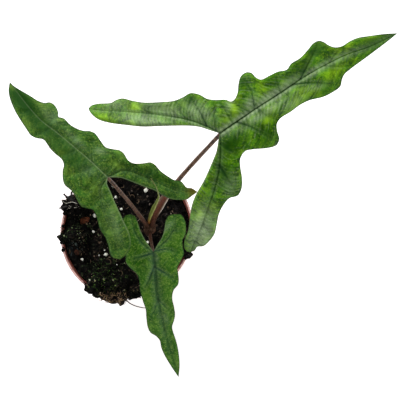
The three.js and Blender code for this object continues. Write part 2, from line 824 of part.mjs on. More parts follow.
function buildPlant(plant) {
  const crown = new THREE.Group();
  let rootstock = rootstockSolid();
  for (const leaf of LEAVES) {
    const seat = placeBlade(new THREE.Object3D(), leaf);
    seat.updateMatrixWorld(true);
    const cutter = solidOf(bladeGeometry(leaf, GAP).applyMatrix4(seat.matrixWorld));
    const petiole = mainBody(solidOf(petioleGeometry(leaf)).subtract(cutter));
    crown.add(mesh("petiole_" + leaf.name, geometryOf(petiole), COLOURS.petiole, 0.55));
    const blade = geometryOf(solidOf(bladeGeometry(leaf)));
    plant.add(placeBlade(mesh("blade_" + leaf.name, blade, COLOURS.blade, 0.5), leaf));
    rootstock = rootstock.subtract(solidOf(petioleGeometry(leaf, GAP)));
  }
  rootstock = mainBody(rootstock.subtract(solidOf(newLeafGeometry(GAP))));
  crown.add(mesh("rootstock", geometryOf(rootstock), COLOURS.rootstock, 0.7));
  crown.add(mesh("new_leaf", geometryOf(solidOf(newLeafGeometry())), COLOURS.newLeaf, 0.5));
  plant.add(crown);
}

function buildPot(pot) {
  const mix = mixSolid();
  const random = seededRandom(BARK.seed);
  pot.add(mesh("pot", geometryOf(potSolid()), COLOURS.pot, 0.45));
  pot.add(mesh("potting_mix", geometryOf(mix), COLOURS.mix, 0.95));
  for (const chip of BARK.chips) {
    pot.add(mesh(chip.name, geometryOf(barkSolid(chip, mix, random)), COLOURS.bark, 0.85));
  }
}

const group = new THREE.Group();
group.name = "potted_alocasia";
buildPot(group);
buildPlant(group);

export default group;
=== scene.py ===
"""The looks of a young arrow-leaved alocasia in a nursery pot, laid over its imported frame.

Sizes are millimetres until a mesh is made, with +Z up and the origin under the middle of the pot.
"""

import itertools
import logging
import math
from collections.abc import Sequence
from dataclasses import dataclass, field
from enum import Enum

import bpy
import numpy as np
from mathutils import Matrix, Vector
from numpy.linalg import norm


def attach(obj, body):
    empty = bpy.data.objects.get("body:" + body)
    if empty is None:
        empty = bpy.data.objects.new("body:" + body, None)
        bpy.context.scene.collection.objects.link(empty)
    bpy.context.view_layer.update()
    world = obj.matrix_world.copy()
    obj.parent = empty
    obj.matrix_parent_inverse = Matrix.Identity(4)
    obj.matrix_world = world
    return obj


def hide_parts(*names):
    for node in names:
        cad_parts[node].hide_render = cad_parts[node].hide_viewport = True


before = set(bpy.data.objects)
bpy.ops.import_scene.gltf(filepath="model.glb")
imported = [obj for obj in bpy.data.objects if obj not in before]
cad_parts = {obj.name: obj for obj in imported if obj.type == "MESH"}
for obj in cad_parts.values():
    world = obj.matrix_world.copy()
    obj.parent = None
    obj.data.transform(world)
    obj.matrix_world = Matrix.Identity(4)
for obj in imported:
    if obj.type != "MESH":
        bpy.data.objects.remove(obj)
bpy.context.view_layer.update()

log = logging.getLogger("potted_alocasia")

Array = np.ndarray
Pair = tuple[float, float]
Triple = tuple[float, float, float]
Points = Sequence[Sequence[float]]
Material = bpy.types.Material
Socket = bpy.types.NodeSocket
MM = 0.001
UP = np.array([0.0, 0.0, 1.0])

# large odd numbers that mix a cell's coordinates and a seed into a random-looking number
MIX_AXES = (73856093, 19349663, 83492791)
MIX_SEED = 2654435761
MIX_AGAIN = 1274126177


# Numbers and noise


def linear(code: str) -> tuple[float, float, float, float]:
    """Turns an sRGB hex colour into linear red, green, blue and a full alpha."""
    parts = [int(code[i : i + 2], 16) / 255 for i in (0, 2, 4)]
    return (*(c / 12.92 if c <= 0.04045 else ((c + 0.055) / 1.055) ** 2.4 for c in parts), 1.0)


def smooth_noise(points: Array, size: float, seed: int = 0) -> Array:
    """Smooth random values over space.

    Every corner of a grid of cells has a random number made by mixing its whole-number coordinates,
    and a point takes the eight numbers round it, blended with the cubic 3t^2 - 2t^3.

    Args:
        points: places, (..., 3).
        size: width of a cell.
        seed: picks another pattern.

    Returns:
        Values from -1 to 1, (...).
    """
    cell = np.floor(points / size)
    part = points / size - cell
    part = part * part * (3 - 2 * part)
    total = np.zeros(points.shape[:-1])
    for corner in itertools.product((0, 1), repeat=3):
        weight = np.prod(np.where(corner, part, 1 - part), axis=-1)
        mixed = ((cell + corner).astype(np.int64) * MIX_AXES).sum(-1)
        mixed = (mixed + seed * MIX_SEED) & 0xFFFFFFFF
        mixed = ((mixed ^ (mixed >> 13)) * MIX_AGAIN) & 0xFFFFFFFF
        total += weight * ((mixed ^ (mixed >> 16)) & 0xFFFFFF) / 0xFFFFFF
    return 2 * total - 1


def layered_noise(points: Array, layers: Points, seed: int = 0) -> Array:
    """The sum of several noises, each with its height, cell width and seed, moved on by a seed."""
    return sum(height * smooth_noise(points, size, own + seed) for height, size, own in layers)


def bell(distance: Array | float, reach: float) -> Array:
    """A bell curve: 1 at no distance, falling to 1/e at the reach."""
    return np.exp(-((np.asarray(distance) / reach) ** 2))


def ease(value: Array, low: float, high: float) -> Array:
    """Rises smoothly from 0 at low to 1 at high."""
    t = np.clip((value - low) / (high - low), 0, 1)
    return t * t * (3 - 2 * t)


# Points and curves


def level_points(x: Array, y: Array | float, z: Array | float = 0.0) -> Array:
    """Stacks three coordinates, whatever their shapes, into one array of points."""
    return np.stack(np.broadcast_arrays(x, y, z), axis=-1).astype(float)


def round_points(radius: Array | float, angle: Array, z: Array | float = 0.0) -> Array:
    """Points at a distance from the upright axis, an angle round it in radians, and a height."""
    return level_points(radius * np.cos(angle), radius * np.sin(angle), z)


def angles(count: int) -> Array:
    """Equal steps round a full turn, in radians."""
    return 2 * np.pi * np.arange(count) / count


def turned(points: Array, degrees: float) -> Array:
    """Turns points, (..., 2) or (..., 3), anticlockwise about the upright axis."""
    c, s = math.cos(math.radians(degrees)), math.sin(math.radians(degrees))
    return np.concatenate([points[..., :2] @ np.array([[c, s], [-s, c]]), points[..., 2:]], axis=-1)


def smooth_curve(points: Points, per_span: int = 16) -> Array:
    """A centripetal Catmull-Rom curve.

    Between two points it is a cubic whose end slopes come from the neighbours, with knots spaced by
    the square root of the distances. The first and last points are reflected to continue the ends.

    Args:
        points: the points that the curve goes through.
        per_span: steps between two of them.

    Returns:
        The curve as points, (spans * per_span + 1, dimensions).
    """
    p = np.asarray(points, float)
    p = np.vstack([2 * p[0] - p[1], p, 2 * p[-1] - p[-2]])
    gap = np.sqrt(norm(np.diff(p, axis=0), axis=1))[:, None]
    slope = np.diff(p, axis=0) / gap
    tangent = slope[:-1] - (p[2:] - p[:-2]) / (gap[:-1] + gap[1:]) + slope[1:]
    leave, arrive = tangent[:-1] * gap[1:-1], tangent[1:] * gap[1:-1]
    t = np.linspace(0, 1, per_span, endpoint=False)[None, :, None]
    start, end = p[1:-2, None], p[2:-1, None]
    curve = (2 * t**3 - 3 * t**2 + 1) * start + (t**3 - 2 * t**2 + t) * leave[:, None]
    curve = curve + (3 * t**2 - 2 * t**3) * end + (t**3 - t**2) * arrive[:, None]
    return np.vstack([curve.reshape(-1, p.shape[1]), p[-2]])


def bezier(corners: Sequence[Array], t: Array) -> Array:
    """A Bezier curve of any degree n: corner k weighs n over k, times (1 - t)^(n - k) t^k."""
    top = len(corners) - 1
    return sum(math.comb(top, k) * (1 - t) ** (top - k) * t**k * c for k, c in enumerate(corners))


def walked(curve: Array) -> Array:
    """The distance walked along a curve at each of its points."""
    return np.concatenate([[0], np.cumsum(norm(np.diff(curve, axis=0), axis=1))])


def points_at(curve: Array, way: Array) -> Array:
    """The points of a curve at given distances along it."""
    return np.stack([np.interp(way, walked(curve), axis) for axis in curve.T], axis=-1)


def even_points(curve: Array, count: int) -> Array:
    """Points at equal distances along a curve, one more than the count of steps."""
    return points_at(curve, np.linspace(0, walked(curve)[-1], count + 1))


def distance_to(points: Array, path: Array) -> tuple[Array, Array]:
    """How far points lie from a path of straight pieces.

    Args:
        points: places, (n, 2).
        path: the path's corners, (m, 2).

    Returns:
        The distance to the nearest piece, and the share of the path walked there, each (n,).
    """
    start, along = path[:-1], np.diff(path, axis=0)
    offset = points[:, None] - start
    share = np.clip((offset * along).sum(-1) / (along**2).sum(-1), 0, 1)
    distance = norm(offset - share[..., None] * along, axis=-1)
    nearest = distance.argmin(axis=1)
    row = np.arange(len(points))
    return distance[row, nearest], (nearest + share[row, nearest]) / len(along)


# Surfaces


@dataclass
class Skin:
    """A mesh in the making.

    points are places in mm, (n, 3). triangles are corner numbers, (m, 3). tones are values at the
    points that a finish reads by name, (n,) or (n, 4). layout is a flat map in mm, at the points,
    (n, 2), or at the corners of the triangles, (m, 3, 2).
    """

    points: Array
    triangles: Array
    tones: dict[str, Array] = field(default_factory=dict)
    layout: Array | None = None

    def flipped(self) -> "Skin":
        """The same skin with its faces turned round."""
        return Skin(self.points, self.triangles[:, ::-1], self.tones, self.layout)

    def dyed(self, colour: str) -> "Skin":
        """The same mesh in one colour, which it carries as the tone "grit"."""
        return Skin(self.points, self.triangles, {"grit": np.tile(linear(colour), (len(self.points), 1))})


def joined(skins: Sequence[Skin]) -> Skin:
    """Puts several skins into one.

    Args:
        skins: skins that carry the same tones.

    Returns:
        All of them; it has a layout where each of them has one.
    """
    offsets = np.cumsum([0] + [len(s.points) for s in skins[:-1]])
    tones = {name: np.concatenate([s.tones[name] for s in skins]) for name in skins[0].tones}
    mapped = all(s.layout is not None for s in skins)
    layout = np.concatenate([s.layout for s in skins]) if mapped else None
    triangles = np.concatenate([s.triangles + start for s, start in zip(skins, offsets)])
    return Skin(np.concatenate([s.points for s in skins]), triangles, tones, layout)


def merged(skin: Skin, tolerance: float = 1e-3) -> Skin:
    """Joins points that lie together and drops triangles that close up.

    Args:
        skin: the skin to clean.
        tolerance: points that round to the same multiple of it lie together.

    Returns:
        The clean skin, with its layout at the corners of the triangles.
    """
    key = np.round(skin.points / tolerance).astype(np.int64)
    _, first, where = np.unique(key, axis=0, return_index=True, return_inverse=True)
    triangles = where.ravel()[skin.triangles]
    a, b, c = triangles.T
    kept = (a != b) & (b != c) & (c != a)
    layout = None if skin.layout is None else skin.layout[skin.triangles[kept]]
    tones = {name: values[first] for name, values in skin.tones.items()}
    return Skin(skin.points[first], triangles[kept], tones, layout)


def grid_triangles(rows: int, columns: int, closed: bool = False) -> Array:
    """Triangles of a grid of points, two to a cell.

    Args:
        rows: rows of points.
        columns: points in a row.
        closed: joins the last point of each row to its first.

    Returns:
        Corner numbers, (cells * 2, 3).
    """
    cells = np.arange(columns if closed else columns - 1)
    i, j = np.meshgrid(np.arange(rows - 1), cells, indexing="ij")
    a, b = i * columns + j, i * columns + (j + 1) % columns
    c, d = a + columns, b + columns
    return np.concatenate([np.stack([a, b, d], -1), np.stack([a, d, c], -1)]).reshape(-1, 3)


def capped(rings: Array) -> Skin:
    """Closes rings of points at both ends, each on a pole in the middle of the end ring.

    Args:
        rings: (rings, points in a ring, 3), anticlockwise about the way the rings follow.

    Returns:
        The closed skin, with the two poles last.
    """
    count, sides = rings.shape[:2]
    points = np.concatenate([rings.reshape(-1, 3), rings[[0, -1]].mean(axis=1)])
    k = np.arange(sides)
    beside = (k + 1) % sides
    low, high, last = count * sides, count * sides + 1, (count - 1) * sides
    foot = np.stack([np.full(sides, low), beside, k], -1)
    head = np.stack([np.full(sides, high), last + k, last + beside], -1)
    return Skin(points, np.concatenate([grid_triangles(count, sides, closed=True), foot, head]))


def tube(path: Array, radius: Array, sides: int, across: Array = UP, **tones: Array) -> Skin:
    """A round or shaped rod along a path.

    At each point of the path, the ring's first axis is square to the path and to the vector across,
    and its second axis is square to both; a ring point lies at radius times cos and sin of its angle.

    Args:
        path: the middle line, (n, 3).
        radius: one radius for each ring, (n,), or for each ring point, (n, sides).
        sides: points in a ring.
        across: a direction that the path never takes.
        tones: by name, values at its rings or ring points; the two poles get 0.

    Returns:
        The closed rod, with a flat map of the distance along it and round it.
    """
    way = np.gradient(path, axis=0)
    way /= norm(way, axis=1)[:, None]
    level = np.cross(across, way)
    level /= norm(level, axis=1)[:, None]
    upward = np.cross(way, level)
    angle = angles(sides)
    reach = np.broadcast_to(np.asarray(radius, float).reshape(len(path), -1), (len(path), sides))
    ring = level[:, None] * np.cos(angle)[:, None] + upward[:, None] * np.sin(angle)[:, None]
    rod = capped(path[:, None] + reach[..., None] * ring)
    along = np.repeat(walked(path), sides)
    round_it = np.tile(np.abs(angle - np.pi), len(path)) * reach.mean()
    rod.layout = np.stack([np.append(along, [0, along[-1]]), np.append(round_it, [0, 0])], axis=-1)
    for name, values in tones.items():
        rod.tones[name] = np.append(np.broadcast_to(values, (len(path), sides)), [0.0, 0.0])
    return rod


def ball(rings: int, sides: int) -> Skin:
    """A sphere of radius 1 as rings of latitude between two poles.

    Args:
        rings: circles of latitude.
        sides: points in each.

    Returns:
        The closed sphere.
    """
    polar = np.pi * np.arange(1, rings + 1)[:, None] / (rings + 1)
    whole = capped(round_points(np.sin(polar), angles(sides), -np.cos(polar)))
    whole.points[-2:] = [-UP, UP]
    return whole


def scattered(shape: Skin, places: Array, sizes: Array, rough: float, seed: int) -> Skin:
    """Many rough copies of a small shape, each turned at random.

    A unit quaternion of cosine w and axis q moves p to p + 2 (w (q x p) + q x (q x p)).

    Args:
        shape: the shape to repeat, about 1 mm in radius.
        places: the copies' middles, (n, 3).
        sizes: half sizes along their own axes, (n, 3).
        rough: how far a point is pushed in or out, as a share.
        seed: picks the turns and pushes.

    Returns:
        One skin with all the copies; the tone "copy" is a random number for each copy.
    """
    draw = np.random.default_rng(seed)
    count, corners = len(places), len(shape.points)
    turn = draw.normal(size=(count, 1, 4))
    cosine, axis = np.split(turn / norm(turn, axis=-1, keepdims=True), [1], axis=-1)
    push = 1 + rough * draw.uniform(-1, 1, (count, corners, 1))
    local = shape.points * push * sizes[:, None]
    aside = np.cross(axis, local)
    points = local + 2 * (cosine * aside + np.cross(axis, aside)) + places[:, None]
    triangles = shape.triangles + corners * np.arange(count)[:, None, None]
    tones = {"copy": np.repeat(draw.random(count), corners)}
    return Skin(points.reshape(-1, 3), triangles.reshape(-1, 3), tones)


# Materials


def add(
    tree: bpy.types.NodeTree, kind: str, inputs: dict | None = None, **settings: object
) -> bpy.types.Node:
    """Adds a node with its settings and links.

    Args:
        tree: the material's or world's node tree.
        kind: the node's type, without the "ShaderNode" in front.
        inputs: by socket name or number, a value, a hex colour, or the output socket that feeds it.
        settings: the node's own properties.

    Returns:
        The node.
    """
    node = tree.nodes.new("ShaderNode" + kind)
    for name, value in settings.items():
        setattr(node, name, value)
    for name, value in (inputs or {}).items():
        if isinstance(value, Socket):
            tree.links.new(value, node.inputs[name])
        else:
            node.inputs[name].default_value = linear(value) if isinstance(value, str) else value
    return node


class Space(Enum):
    """Where a pattern takes its coordinates from."""

    OBJECT = "Object"
    LAYOUT = "UV"


@dataclass(frozen=True)
class Coat:
    """The nodes of one material, to which a finish adds patterns, colours and relief."""

    tree: bpy.types.NodeTree
    shader: bpy.types.Node

    def spread(self, space: Space, stretch: Sequence[float] = (1, 1, 1)) -> Socket:
        """Coordinates in mm for a pattern.

        Args:
            space: where they come from.
            stretch: how much faster they run along each axis; more makes a pattern narrower.

        Returns:
            The coordinates.
        """
        source = add(self.tree, "TexCoord").outputs[space.value]
        unit = 1 / MM if space is Space.OBJECT else 1
        return add(self.tree, "Mapping", {"Vector": source, "Scale": [unit * s for s in stretch]}).outputs[0]

    def mottle(
        self, where: Socket, size: float, low: float = 0.35, high: float = 0.65, detail: float = 2
    ) -> Socket:
        """Soft random patches.

        Args:
            where: coordinates in mm.
            size: width of a patch in mm.
            low: noise up to this gives 0.
            high: noise from this on gives 1.
            detail: how many finer noises lie over it.

        Returns:
            An amount from 0 to 1.
        """
        noise = add(self.tree, "TexNoise", {"Vector": where, "Scale": 1 / size, "Detail": detail})
        span = {"Value": noise.outputs["Fac"], "From Min": low, "From Max": high}
        return add(self.tree, "MapRange", span, interpolation_type="SMOOTHSTEP").outputs[0]

    def from_walls(self, where: Socket, size: float, none: float, full: float) -> Socket:
        """How far a place lies from the walls of a net of random cells.

        Args:
            where: coordinates in mm.
            size: width of a cell in mm.
            none: distance that gives 0, as a share of the width.
            full: distance that gives 1, as a share of the width.

        Returns:
            An amount from 0 to 1.
        """
        net = {"Vector": where, "Scale": 1 / size}
        cells = add(self.tree, "TexVoronoi", net, feature="DISTANCE_TO_EDGE")
        span = {"Value": cells.outputs["Distance"], "From Min": none, "From Max": full}
        return add(self.tree, "MapRange", span).outputs[0]

    def flecks(self, where: Socket, size: float, least: float) -> Socket:
        """A random amount for each cell of a net.

        Args:
            where: coordinates in mm.
            size: width of a cell in mm.
            least: the share of cells that get 0.

        Returns:
            An amount from 0 to 1.
        """
        cells = add(self.tree, "TexVoronoi", {"Vector": where, "Scale": 1 / size}).outputs["Color"]
        chance = add(self.tree, "SeparateColor", {"Color": cells}).outputs[0]
        return add(self.tree, "MapRange", {"Value": chance, "From Min": least, "From Max": 1.0}).outputs[0]

    def cover(self, colour: Socket | str, *layers: Sequence[Socket | float | str]) -> Socket:
        """Lays colours over a first one; each is a socket or hex.

        Args:
            colour: the first colour.
            layers: for each, its colour, then sockets, numbers and names of the mesh's tones, which
                are multiplied to say how much of it shows.

        Returns:
            The mixed colour.
        """
        for over, *amounts in layers:
            whole, *others = (
                add(self.tree, "Attribute", attribute_name=amount).outputs["Fac"]
                if isinstance(amount, str) else amount for amount in amounts
            )
            for other in others:
                whole = add(self.tree, "Math", {0: whole, 1: other}, operation="MULTIPLY").outputs[0]
            mix = add(self.tree, "Mix", {0: whole, 6: colour, 7: over}, data_type="RGBA")
            colour = mix.outputs[2]
        return colour

    def emboss(self, height: Socket, depth: float) -> Socket:
        """Gives the shader relief, on top of any that it has.

        Args:
            height: an amount from 0 to 1.
            depth: the relief's depth in mm.

        Returns:
            The height as it came.
        """
        normal = self.shader.inputs["Normal"]
        bump = add(self.tree, "Bump", {"Height": height, "Distance": depth * MM, "Strength": 1.0})
        if normal.is_linked:
            self.tree.links.new(normal.links[0].from_socket, bump.inputs["Normal"])
        self.tree.links.new(bump.outputs[0], normal)
        return height


@dataclass(frozen=True)
class Finish:
    """What all materials share: a name and a gloss. Each kind paints its own colour and relief."""

    name: str
    roughness: float = 0.5
    specular: float = 0.5

    def material(self) -> Material:
        """Makes the material.

        Returns:
            A material painted by the finish.
        """
        made = bpy.data.materials.new(self.name)
        made.use_nodes = True
        tree = made.node_tree
        tree.nodes.clear()
        gloss = {"Roughness": self.roughness, "Specular IOR Level": self.specular}
        shader = add(tree, "BsdfPrincipled", gloss)
        add(tree, "OutputMaterial", {"Surface": shader.outputs[0]})
        tree.links.new(self.paint(Coat(tree, shader)), shader.inputs["Base Color"])
        return made

    def paint(self, coat: Coat) -> Socket:
        """Adds the finish's patterns and relief to its coat, and gives the base colour."""
        raise NotImplementedError


@dataclass(frozen=True)
class LeafTissue(Finish):
    """Living leaf: a smooth waxy skin over green tissue. It is grown, so its colour drifts from deep
    green along the veins to yellow-green between them, and a painted sheen greys it beside the ribs.
    Small veins make a dark net with meshes of 4 mm, and the finest ones pale cells and rows of rungs in
    it; a painted sheen also lies along the pale rungs."""

    deep: str = "1c4a12"
    green: str = "3d7a1e"
    lime: str = "8fb52e"
    # colour of the painted sheen, a reflection of the lights laid into the colour
    wax: str = "a3b78f"
    vein: str = "12321a"
    rib: str = "a9b98c"
    rim: str = "1d3a18"
    dead: str = "6b5a1c"
    under: str = "8aa070"
    patch: float = 2.6
    drift: float = 3.0
    ladder: float = 2.5
    ladder_share: float = 0.5
    cell: float = 1.25
    cell_share: float = 0.3
    net: float = 3.8
    net_share: float = 0.4
    sheen_least: float = 0.8

    def paint(self, coat: Coat) -> Socket:
        """Mixes the tissue's colours by the mesh's tones, by cells and rungs, and by noise.

        Args:
            coat: the material's nodes.

        Returns:
            The base colour.
        """
        solid, flat = coat.spread(Space.OBJECT), coat.spread(Space.LAYOUT)
        patches = coat.mottle(coat.spread(Space.LAYOUT, (0.5, 0.2, 1)), self.patch, 0.34, 0.68, 3)
        drift = coat.mottle(coat.spread(Space.LAYOUT, (0.7, 0.45, 1)), self.drift, 0.46, 0.64)
        walls = coat.from_walls(solid, self.cell, 0.0, 0.16)
        flecks = coat.flecks(solid, self.cell, 0.2)
        # the net's coordinates are pushed up to 2 mm to and fro over 4 mm, so that it isn't straight
        long = coat.spread(Space.LAYOUT, (1, 0.5, 1))
        push = add(coat.tree, "TexNoise", {"Vector": long, "Scale": 1 / 4}).outputs["Color"]
        bent = add(coat.tree, "VectorMath", {0: push, 1: (4, 4, 0), 2: long}, operation="MULTIPLY_ADD")
        strands = coat.from_walls(bent.outputs[0], self.net, 0.12, 0.0)
        # a rung every 2.5 mm, coarser than life so that it shows; the wave repeats every pi / 10
        bands = {"Vector": flat, "Scale": math.pi / 10 / self.ladder, "Distortion": 9.0, "Detail": 3.0,
                 "Detail Scale": 0.4}
        waves = add(coat.tree, "TexWave", bands, wave_type="BANDS", bands_direction="X").outputs["Fac"]
        ridges, grooves = (
            add(coat.tree, "MapRange", {"Value": waves, "From Min": none, "From Max": full}).outputs[0]
            for none, full in ((0.45, 0.9), (0.4, 0.0))
        )
        broken, *sheen = (
            add(coat.tree, "MapRange", {"Value": amount, "To Min": least}).outputs[0]
            for amount, least in ((patches, 0.4), (patches, 0.8), (walls, 0.7), (ridges, self.sheen_least))
        )
        coat.emboss(walls, 0.03)
        coat.emboss(waves, 0.04)
        return coat.cover(
            self.deep, (self.green, patches),
            (self.lime, "light", broken),
            (self.lime, flecks, walls, self.cell_share),
            # painted sheen beside the ribs and in the blade's spots, broken by patches, cells and rungs
            (self.wax, "wax", *sheen),
            (self.deep, strands, drift, self.net_share),
            (self.deep, grooves, "ladder", self.ladder_share),
            # painted sheen along the ridges of the rungs near the rib
            (self.wax, ridges, drift, "ladder", self.ladder_share),
            (self.deep, "shade"), (self.vein, "vein"), (self.rim, "rim"), (self.rib, "line"),
            (self.dead, "brown"), (self.under, "under"),
        )


@dataclass(frozen=True)
class StalkSkin(Finish):
    """Smooth leaf stalk: a thin glossy skin, mottled in brown and purple bands that run across it."""

    dark: str = "2b1a12"
    mid: str = "674632"
    pale: str = "9c7860"
    sheath: str = "8a4639"
    # colour of the sheath's pale margin, with a painted highlight along it
    edge: str = "fdeae0"
    band: float = 1.9
    streak: float = 1.1

    def paint(self, coat: Coat) -> Socket:
        """Bands of a millimetre or two along the stalk, a pale edge that is partly a painted highlight, and
        a darker foot that is partly painted shade, where the mesh says.

        Args:
            coat: the material's nodes.

        Returns:
            The base colour.
        """
        bands = coat.mottle(coat.spread(Space.LAYOUT, (1, 0.4, 1)), self.band, 0.44, 0.53, 3)
        streaks = coat.mottle(coat.spread(Space.LAYOUT, (0.35, 1, 1)), self.streak, 0.46, 0.66)
        stain = add(coat.tree, "MapRange", {"Value": bands, "To Min": 0.5}).outputs[0]
        coat.emboss(streaks, 0.08)
        return coat.cover(
            # the darker foot, which on the front stalk is painted shade most of the way up
            self.dark, (self.mid, bands), (self.pale, streaks, 0.45), (self.dark, "base", stain),
            (self.sheath, "inner"), (self.edge, "edge"),
        )


@dataclass(frozen=True)
class ShootSkin(Finish):
    """A leaf still rolled up: soft yellow-green tissue with pale edges, browner at foot and tip."""

    green: str = "5f6e22"
    yellow: str = "a9b05a"
    brown: str = "8a4a1c"
    line: float = 0.6

    def paint(self, coat: Coat) -> Socket:
        """Fine raised lines along the roll, the pale seam, and brown ends."""
        lines = coat.emboss(coat.mottle(coat.spread(Space.LAYOUT, (0.1, 1, 1)), self.line, 0.35, 0.7), 0.08)
        return coat.cover(self.green, (self.yellow, lines, 0.4), (self.yellow, "edge"), (self.brown, "base"))


@dataclass(frozen=True)
class FibrousBark(Finish):
    """Dead plant skin: dry, rough and streaked, in browns."""

    dark: str = "2a1710"
    light: str = "7a4630"
    grain: Sequence[float] = (1, 1, 0.25)
    streak: float = 1.1

    def paint(self, coat: Coat) -> Socket:
        """Streaks a millimetre wide along the grain, with relief."""
        streaks = coat.mottle(coat.spread(Space.OBJECT, self.grain), self.streak, 0.3, 0.7, 5)
        return coat.cover(self.dark, (self.light, coat.emboss(streaks, 0.5)))


@dataclass(frozen=True)
class MoistPeat(Finish):
    """Moist peat: near-black crumbs, with the tint that the mesh carries and drier, paler grains of a
    millimetre or so among them."""

    black: str = "030202"
    crumb: float = 1.0
    grain: float = 1.4
    dry: float = 5.5

    def paint(self, coat: Coat) -> Socket:
        """The mesh's own colour, darkened by noise at a millimetre, with rough relief.

        Args:
            coat: the material's nodes.

        Returns:
            The base colour.
        """
        own = add(coat.tree, "Attribute", attribute_name="grit").outputs["Color"]
        solid = coat.spread(Space.OBJECT)
        crumbs = coat.emboss(coat.mottle(solid, self.crumb, 0.42, 0.72, 6), 0.9)
        bright = add(coat.tree, "HueSaturation", {"Value": self.dry, "Color": own}).outputs[0]
        return coat.cover(self.black, (own, crumbs), (bright, coat.flecks(solid, self.grain, 0.72)))


@dataclass(frozen=True)
class PerliteStone(Finish):
    """Expanded volcanic glass: white, matt and pitted, with stains of peat and algae."""

    white: str = "fdfcf4"
    stain: str = "9aa05c"
    hollow: str = "8a8578"
    pit: float = 0.5
    blot: float = 2.0

    def paint(self, coat: Coat) -> Socket:
        """White with a stain on some grains, and pits of half a millimetre.

        Args:
            coat: the material's nodes.

        Returns:
            The base colour.
        """
        solid = coat.spread(Space.OBJECT)
        pits = coat.emboss(coat.mottle(solid, self.pit, 0.3, 0.6, 3), 0.1)
        blots = coat.mottle(solid, self.blot, 0.5, 0.75)
        return coat.cover(self.white, (self.stain, blots, 0.5), (self.hollow, pits, 0.06))


@dataclass(frozen=True)
class MouldedPlastic(Finish):
    """Injection-moulded polypropylene, dyed terracotta pink: a soft sheen, faint flow streaks up the
    wall, a painted highlight that makes the lip pale, and peat dust that clings near the mouth and the foot."""

    dye: str = "b5665b"
    deep: str = "954c43"
    dust: str = "3a2720"
    # colour of the painted highlight on the lip
    lip_highlight: str = "f2c6c0"
    streak: float = 5
    cloud: float = 3.5
    pit: float = 0.6

    def paint(self, coat: Coat) -> Socket:
        """Streaks up the wall, dust and a painted highlight on the lip where the mesh says, and a skin
        pitted at 0.6 mm.

        Args:
            coat: the material's nodes.

        Returns:
            The base colour.
        """
        solid = coat.spread(Space.OBJECT)
        streaks = coat.mottle(coat.spread(Space.OBJECT, (1, 1, 0.06)), self.streak, 0.3, 0.7)
        clouds = coat.mottle(solid, self.cloud, 0.45, 0.75, 5)
        coat.emboss(coat.mottle(solid, self.pit, 0, 1), 0.04)
        return coat.cover(
            # the pale lip is a painted highlight
            self.dye, (self.deep, streaks, 0.35), (self.lip_highlight, "painted_highlight", 0.85), (self.dust, "dust", clouds),
        )


@dataclass(frozen=True)
class CoirFibre(Finish):
    """Coconut fibre and dead root: dry threads from tan to dark brown."""

    dark: str = "1d130c"
    mark: float = 0.9

    def paint(self, coat: Coat) -> Socket:
        """The mesh's own colour with fine dark marks."""
        own = add(coat.tree, "Attribute", attribute_name="grit").outputs["Color"]
        return coat.cover(own, (self.dark, coat.mottle(coat.spread(Space.OBJECT), self.mark, 0.4, 0.8), 0.5))


@dataclass(frozen=True)
class WhitePaper(Finish):
    """The studio's paper floor: matt white with a glow that keeps soft shadows pale."""

    glow: float = 0.62
    tooth: float = 1.5

    def paint(self, coat: Coat) -> Socket:
        """Near white with the faintest tooth.

        Args:
            coat: the material's nodes.

        Returns:
            The base colour.
        """
        coat.shader.inputs["Emission Color"].default_value = linear("ffffff")
        coat.shader.inputs["Emission Strength"].default_value = self.glow
        return coat.cover("f4f4f3", ("f6f6f5", coat.mottle(coat.spread(Space.OBJECT), self.tooth)))


# Pieces


def placed(name: str, data: bpy.types.ID) -> bpy.types.Object:
    """Puts an object into the scene.

    Args:
        name: its name.
        data: its mesh, light or camera.

    Returns:
        The object, at the origin.
    """
    made = bpy.data.objects.new(name, data)
    bpy.context.scene.collection.objects.link(made)
    return made


def make_piece(
    name: str, skin: Skin, finish: Material, replaces: Sequence[str] = (), smooth: bool = True
) -> None:
    """Makes a piece from a skin and puts it on the frame.

    Args:
        name: the piece's name.
        skin: its mesh, tones and layout.
        finish: its material.
        replaces: the frame's nodes that it stands for.
        smooth: shades it smooth rather than in facets.
    """
    mesh = bpy.data.meshes.new(name)
    corners = skin.triangles.astype(np.int32)
    mesh.vertices.add(len(skin.points))
    mesh.vertices.foreach_set("co", (skin.points * MM).astype(np.float32).ravel())
    mesh.loops.add(corners.size)
    mesh.loops.foreach_set("vertex_index", corners.ravel())
    mesh.polygons.add(len(corners))
    mesh.polygons.foreach_set("loop_start", np.arange(0, corners.size, 3, dtype=np.int32))
    for label, values in skin.tones.items():
        kind, key = ("FLOAT_COLOR", "color") if values.ndim == 2 else ("FLOAT", "value")
        mesh.attributes.new(label, kind, "POINT").data.foreach_set(key, values.astype(np.float32).ravel())
    if skin.layout is not None:
        flat = skin.layout if skin.layout.ndim == 3 else skin.layout[corners]
        mesh.uv_layers.new(name="layout").uv.foreach_set("vector", flat.astype(np.float32).ravel())
    mesh.update(calc_edges=True)
    mesh.validate()
    if smooth:
        mesh.shade_smooth()
    else:
        mesh.shade_flat()
    mesh.materials.append(finish)
    piece = placed(name, mesh)
    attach(piece, "root")
    if replaces:
        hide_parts(*replaces)
    log.info("%s: %d points, %d triangles", name, len(skin.points), len(corners))


